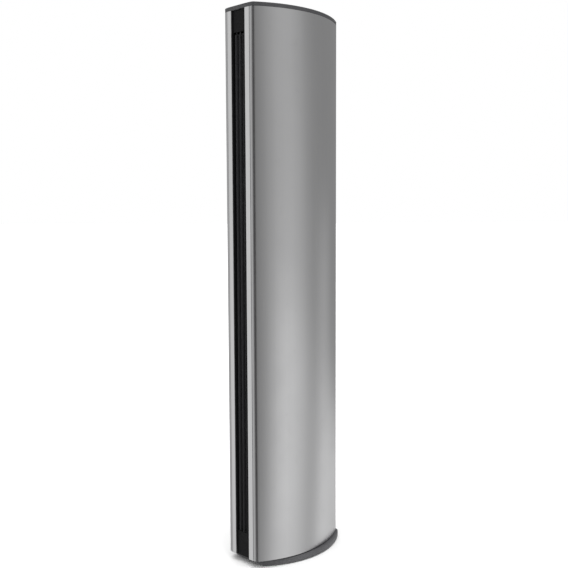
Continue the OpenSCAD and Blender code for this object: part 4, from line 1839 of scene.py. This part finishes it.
@dataclass
class Head:
    """The top cap with its control panel, window and buttons.

    Attributes:
        rim: Rounding of the cap's top edge.
        seam: Rounding of its lower edge, above the sides.
        pocket_edge: Rounding of the panel's pocket.
        panel_edge: Rounding of the panel and its openings.
        pane_edge: Rounding of the window.
        key_stem: Radius of a button's stem.
        key_low: How far the underside of a button's flange is below the panel.
        key_high: How far the flange's top is below the panel.
        key_flange: How far a button's flange stands out of it.
        key_gap: Gap round each button in the panel.
        panel_gap: Gap round the panel in the cap.
        window_gap: Gap round the window in the panel.
        keys: Mark on each button, by the button's name.
    """

    rim: float = 1.8 * MM
    seam: float = 0.5 * MM
    pocket_edge: float = 0.4 * MM
    panel_edge: float = 0.3 * MM
    pane_edge: float = 0.5 * MM
    key_stem: float = 2 * MM
    key_low: float = 1.3 * MM
    key_high: float = 0.1 * MM
    key_flange: float = 1.2 * MM
    key_gap: float = 0.2 * MM
    panel_gap: float = 0.2 * MM
    window_gap: float = 0.1 * MM
    keys: dict[str, Mark] = field(default_factory=lambda: dict(KEY_MARKS))

    def build(self, shop: Workshop) -> None:
        """Builds the head.

        Args:
            shop: Workshop that mounts the pieces.
        """
        self._cap(shop)
        self._panel(shop)
        self._window(shop)
        for name, mark in self.keys.items():
            self._button(shop, name)
            self._mark(shop, name, mark)
        shop.dress("steel", "cap_pillars")
        shop.dress("board", "control_board")
        shop.dress("parts", "tact_switches")
        shop.dress("lamp", "indicator_lamps")

    def _cap(self, shop: Workshop) -> None:
        """The cap: a rounded lid with the panel's pocket sunk into it.

        Args:
            shop: Workshop that mounts the piece.
        """
        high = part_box("top_cap")[1]
        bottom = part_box("right_side")[1].z
        lens, crown, nose = front_wrap()
        panel_low, panel_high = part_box("control_panel")
        centre = Vector((0, (panel_low.y + panel_high.y) / 2, high.z))
        radius = panel_high.x + self.panel_gap
        length = panel_high.y - panel_low.y + 2 * self.panel_gap
        bm = bmesh.new()
        face = lens.face(bm, bottom, [crown, nose], lens.corner(End.REAR, REAR_CORNER))
        thicken(bm, [face], UP * (high.z - bottom))
        bmesh.ops.recalc_face_normals(bm, faces=bm.faces)
        bevel_edges(bm, [e for e in bm.edges if level_at(e, high.z)], self.rim, 5)
        bevel_edges(bm, [e for e in bm.edges if level_at(e, bottom)], self.seam, 2)
        top = max(bm.faces, key=lambda f: f.calc_center_median().z)
        loop = pill_loop(bm, centre, radius, length)
        open_face(bm, top, loop)
        floor = pill_loop(bm, centre - UP * (high.z - panel_low.z), radius, length)
        bmesh.ops.bridge_loops(bm, edges=[*loop_edges(loop), *loop_edges(floor)])
        bm.faces.new(floor)
        tidy(bm)
        lip = set(loop)
        edge = [e for e in bm.edges if all(v in lip for v in e.verts)]
        bevel_edges(bm, edge, self.pocket_edge, 2)
        shop.piece("cap_lid", bm, "cap_black", "column", ["top_cap"])

    def _panel(self, shop: Workshop) -> None:
        """The gloss panel with its round and long openings.

        Args:
            shop: Workshop that mounts the piece.
        """
        low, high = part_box("control_panel")
        middle = Vector((0.0, (low.y + high.y) / 2, low.z))
        bm = bmesh.new()
        pill_loop(bm, middle, high.x, high.y - low.y, 32)
        for name in self.keys:
            button_low, button_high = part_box(f"{name}_button")
            key = Vector((0.0, (button_low.y + button_high.y) / 2, low.z))
            flange = (button_high.x - button_low.x) / 2
            ring_loop(bm, key, flange - self.key_flange + self.key_gap, 64)
        window_low, window_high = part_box("display_window")
        window = Vector((0.0, (window_low.y + window_high.y) / 2, low.z))
        length = window_high.y - window_low.y + 2 * self.window_gap
        pill_loop(bm, window, window_high.x + self.window_gap, length)
        edges = list(bm.edges)
        bmesh.ops.triangle_fill(bm, edges=edges, use_beauty=True, use_dissolve=True, normal=UP)
        thicken(bm, bm.faces, UP * (high.z - low.z))
        tidy(bm)
        rims = [e for e in sharp_edges(bm, CORNER) if level_at(e, high.z)]
        bevel_edges(bm, rims, self.panel_edge, 3)
        shop.piece("control_panel_plate", bm, "panel_gloss", "column", ["control_panel"])

    def _window(self, shop: Workshop) -> None:
        """The smoked window over the lamps.

        Args:
            shop: Workshop that mounts the piece.
        """
        low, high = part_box("display_window")
        middle = Vector((0.0, (low.y + high.y) / 2, low.z))
        bm = bmesh.new()
        loop = pill_loop(bm, middle, high.x, high.y - low.y)
        thicken(bm, [bm.faces.new(loop)], UP * (high.z - low.z))
        tidy(bm)
        rims = [e for e in sharp_edges(bm, CORNER) if level_at(e, high.z)]
        bevel_edges(bm, rims, self.pane_edge, 4)
        shop.piece("display_window_pane", bm, "window_smoke", "column", ["display_window"])

    def _button(self, shop: Workshop, name: str) -> None:
        """One push button with a dished top.

        Args:
            shop: Workshop that mounts the piece.
            name: Name of the button.
        """
        node = f"{name}_button"
        low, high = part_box(node)
        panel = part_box("control_panel")[0].z
        flange = (high.x - low.x) / 2
        radius = flange - self.key_flange
        centre = Vector((0.0, (low.y + high.y) / 2, 0.0))
        outline = [
            (0.0, low.z),
            (self.key_stem, low.z),
            (self.key_stem, panel - self.key_low),
            (flange, panel - self.key_low),
            (flange, panel - self.key_high),
            (radius, panel - self.key_high),
            (radius, high.z - 0.5 * MM),
            (radius - 0.12 * MM, high.z - 0.2 * MM),
            (radius - 0.35 * MM, high.z - 0.05 * MM),
            (radius - 0.7 * MM, high.z),
            (radius * 0.78, high.z - 0.12 * MM),
            (radius * 0.5, high.z - 0.3 * MM),
            (radius * 0.25, high.z - 0.38 * MM),
            (0.0, high.z - 0.4 * MM),
        ]
        bm = bmesh.new()
        lathe(bm, outline, centre, UP, 64)
        shop.piece(f"{node}_key", bm, "button_silver", node, [node])

    def _mark(self, shop: Workshop, name: str, mark: Mark) -> None:
        """The raised mark in the middle of a button.

        Args:
            shop: Workshop that mounts the piece.
            name: Name of the button.
            mark: Its strokes.
        """
        low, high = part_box(f"{name}_button")
        middle = Vector((0.0, (low.y + high.y) / 2, high.z - mark.sunk))
        bm = bmesh.new()
        for stroke in mark.bars:
            absorb(bm, mark.bar(middle, stroke))
        for stroke in mark.arcs:
            absorb(bm, mark.arc(middle, stroke))
        shop.piece(f"{name}_button_mark", bm, "outlet_black", f"{name}_button", clean=False)

@dataclass
class Works:
    """Everything inside the column: structure, air path, motors, wheel and electrics."""

    def build(self, shop: Workshop) -> None:
        """Dresses the works.

        Args:
            shop: Workshop that holds the finishes.
        """
        shop.dress("frame_plastic", "turntable", "lower_bulkhead", "upper_bulkhead")
        shop.dress("frame_plastic", "scroll_wall", "cutoff_wall")
        shop.dress("wheel_plastic", "fan_wheel")
        shop.dress("rubber_black", "wheel_hub", "bearing_rubber", "motor_grommets")
        shop.dress("steel", "deck_pillars", "motor_can", "motor_shaft", "motor_rotor")
        shop.dress("steel", "motor_screws", "wheel_pin")
        shop.dress("steel", "swing_motor", "swing_motor_plate", "pinion_shaft")
        shop.dress("gear_plastic", "swing_pinion")
        shop.dress("bronze", "top_bearing")
        shop.dress("copper", "motor_stator")
        shop.dress("board", "power_board")
        shop.dress("parts", "power_parts")
        shop.dress("capacitor_white", "run_capacitor")


# ---- Studio ----


@dataclass(frozen=True)
class Sheen:
    """A soft patch of the surroundings, which the metal mirrors as an upright streak.

    Attributes:
        bearing: Direction of its middle, in degrees from +X towards +Y.
        reach: Half its width in degrees.
        glow: How much brighter than the rest it is, or darker if below 0.
        starts: How far below the horizon it begins, as the sine of the angle.
        full: Where it has its whole strength.
    """

    bearing: float
    reach: float
    glow: float
    starts: float = -2.0
    full: float = -1.5

    def over(self, sheet: NodeSheet, level: Value, down: Value) -> Value:
        """Adds its nodes.

        Args:
            sheet: Nodes of the surroundings.
            level: Level direction that is looked in.
            down: How far below the horizon that is.

        Returns:
            Its brightness in that direction.
        """
        angle = math.radians(self.bearing)
        towards = (math.cos(angle), math.sin(angle), 0.0)
        settings = {"operation": "DOT_PRODUCT"}
        turned = sheet.node("ShaderNodeVectorMath", settings, {0: level, 1: towards}, "Value")
        patch = turned.over(math.cos(math.radians(self.reach)), 1.0) * self.glow
        return patch if self.starts < -1 else patch * down.over(self.starts, self.full)


@dataclass(frozen=True)
class Viewpoint:
    """The scene's camera.

    Attributes:
        bearing: Direction that it looks along, in degrees from +Y towards -X.
        pitch: How far it looks down, in degrees.
        roll: Tilt about its own axis, in degrees.
        distance: Distance from the swing axis.
        height: Height above the floor.
        aside: Shift to its right.
        lens: Focal length in millimetres on a 36 mm sensor.
    """

    bearing: float = 45.14
    pitch: float = 5.05
    roll: float = -0.25
    distance: float = 1.66716
    height: float = 0.70696
    aside: float = 0.00102
    lens: float = 51.46

    def place(self, axis_y: float) -> None:
        """Makes the camera and sets it as the scene's.

        Args:
            axis_y: Y of the axis that the fan swings on.
        """
        data = bpy.data.cameras.new("camera")
        data.lens = self.lens
        data.sensor_width = SENSOR
        data.clip_start = 0.05
        data.clip_end = 50.0
        camera = bpy.data.objects.new("camera", data)
        turn = math.radians(self.bearing)
        ahead = Vector((-math.sin(turn), math.cos(turn), 0.0))
        right = Vector((math.cos(turn), math.sin(turn), 0.0))
        tilt = math.radians(self.pitch)
        above = UP * math.cos(tilt) + ahead * math.sin(tilt)
        forward = ahead * math.cos(tilt) - UP * math.sin(tilt)
        lean = math.radians(self.roll)
        x_axis = right * math.cos(lean) + above * math.sin(lean)
        y_axis = above * math.cos(lean) - right * math.sin(lean)
        rotation = Matrix((x_axis, y_axis, -forward)).transposed()
        place = Vector((0.0, axis_y, self.height)) - ahead * self.distance + right * self.aside
        camera.matrix_world = Matrix.Translation(place) @ rotation.to_4x4()
        bpy.context.scene.collection.objects.link(camera)
        bpy.context.scene.camera = camera


@dataclass
class Studio:
    """Pale floor, soft lights and plain surroundings.

    Attributes:
        floor_size: Width of the floor.
        surround: Brightness of the surroundings as the fan sees them.
        ambient: Brightness of the surroundings as light on matt surfaces.
        ceiling: Strength of the soft light from above.
        ceiling_turn: Turn of that light about X, Y and Z in degrees.
        ceiling_spread: How wide that light is, in degrees.
        sheens: Lighter and darker patches of the surroundings.
    """

    floor_size: float = 120.0
    surround: float = 0.34
    ambient: float = 0.85
    ceiling: float = 2.4
    ceiling_turn: tuple[float, float, float] = (18.0, 0.0, 45.0)
    ceiling_spread: float = 70.0
    sheens: tuple[Sheen, ...] = (
        Sheen(15.0, 33.0, 0.31),
        Sheen(9.0, 17.0, 0.16, -0.06, 0.02),
        Sheen(25.0, 36.0, 0.26, 0.12, 0.24),
        Sheen(72.0, 16.0, 0.24, -0.08, 0.0),
        Sheen(96.0, 44.0, 0.5, 0.2, 0.36),
        Sheen(-62.0, 42.0, -0.27),
        Sheen(-135.0, 52.0, 0.3),
    )

    def build(self) -> None:
        """Builds the studio."""
        self._floor()
        self._surroundings()
        self._ceiling()
        bpy.context.scene.view_settings.view_transform = "Standard"

    def _floor(self) -> None:
        """A plain pale floor, which the metal doesn't mirror."""
        bm = bmesh.new()
        bmesh.ops.create_grid(bm, x_segments=8, y_segments=8, size=self.floor_size / 2)
        mesh = bpy.data.meshes.new("floor")
        bm.to_mesh(mesh)
        bm.free()
        recipe = Recipe("floor_pale")
        cloud = recipe.noise(3.0, 3.0, 0.5)
        colour = recipe.blend(cloud, (0.87, 0.87, 0.87), (0.9, 0.9, 0.9))
        mesh.materials.append(recipe.finish(Base_Color=colour, Roughness=0.85 + cloud * 0.1))
        floor = bpy.data.objects.new("floor", mesh)
        floor.visible_glossy = False
        bpy.context.scene.collection.objects.link(floor)

    def _ceiling(self) -> None:
        """Even soft light from above, without a reflection of its own."""
        data = bpy.data.lights.new("ceiling", "SUN")
        data.energy = self.ceiling
        data.angle = math.radians(self.ceiling_spread)
        light = bpy.data.objects.new("ceiling", data)
        light.rotation_euler = [math.radians(a) for a in self.ceiling_turn]
        light.visible_glossy = False
        bpy.context.scene.collection.objects.link(light)

    def _surroundings(self) -> None:
        """White behind the fan, and a grey with lighter and darker patches for what it mirrors."""
        world = bpy.data.worlds.new("surroundings")
        world.use_nodes = True
        sheet = NodeSheet(world.node_tree)
        direction = sheet.node("ShaderNodeTexCoord", {}, {}, "Generated")
        flat = {0: direction, 1: (1.0, 1.0, 0.0)}
        level = sheet.node("ShaderNodeVectorMath", {"operation": "MULTIPLY"}, flat)
        level = sheet.node("ShaderNodeVectorMath", {"operation": "NORMALIZE"}, {0: level})
        down = 0 - sheet.node("ShaderNodeSeparateXYZ", {}, {"Vector": direction}, "Z")
        patches = (sheen.over(sheet, level, down) for sheen in self.sheens)
        grey = sum(patches, start=self.surround)
        seen = sheet.node("ShaderNodeLightPath", {}, {}, "Is Camera Ray")
        lit = sheet.node("ShaderNodeLightPath", {}, {}, "Is Diffuse Ray") * self.ambient
        strength = grey.greatest(seen).greatest(lit)
        inputs = {"Color": (1.0, 1.0, 1.0, 1.0), "Strength": strength}
        glow = sheet.node("ShaderNodeBackground", {}, inputs)
        sheet.node("ShaderNodeOutputWorld", {}, {"Surface": glow}, raw=True)
        bpy.context.scene.world = world


def main() -> None:
    """Builds the fan around its frame."""
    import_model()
    post_low, post_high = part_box("swing_post")
    Viewpoint().place((post_low.y + post_high.y) / 2)
    Studio().build()
    shop = Workshop(all_finishes())
    for assembly in (Base(), Skins(), Outlet(), Head(), Works()):
        LOG.info("building %s", type(assembly).__name__)
        assembly.build(shop)
    LOG.info("%d new pieces", len(shop.made))


if __name__ == "__main__":
    main()
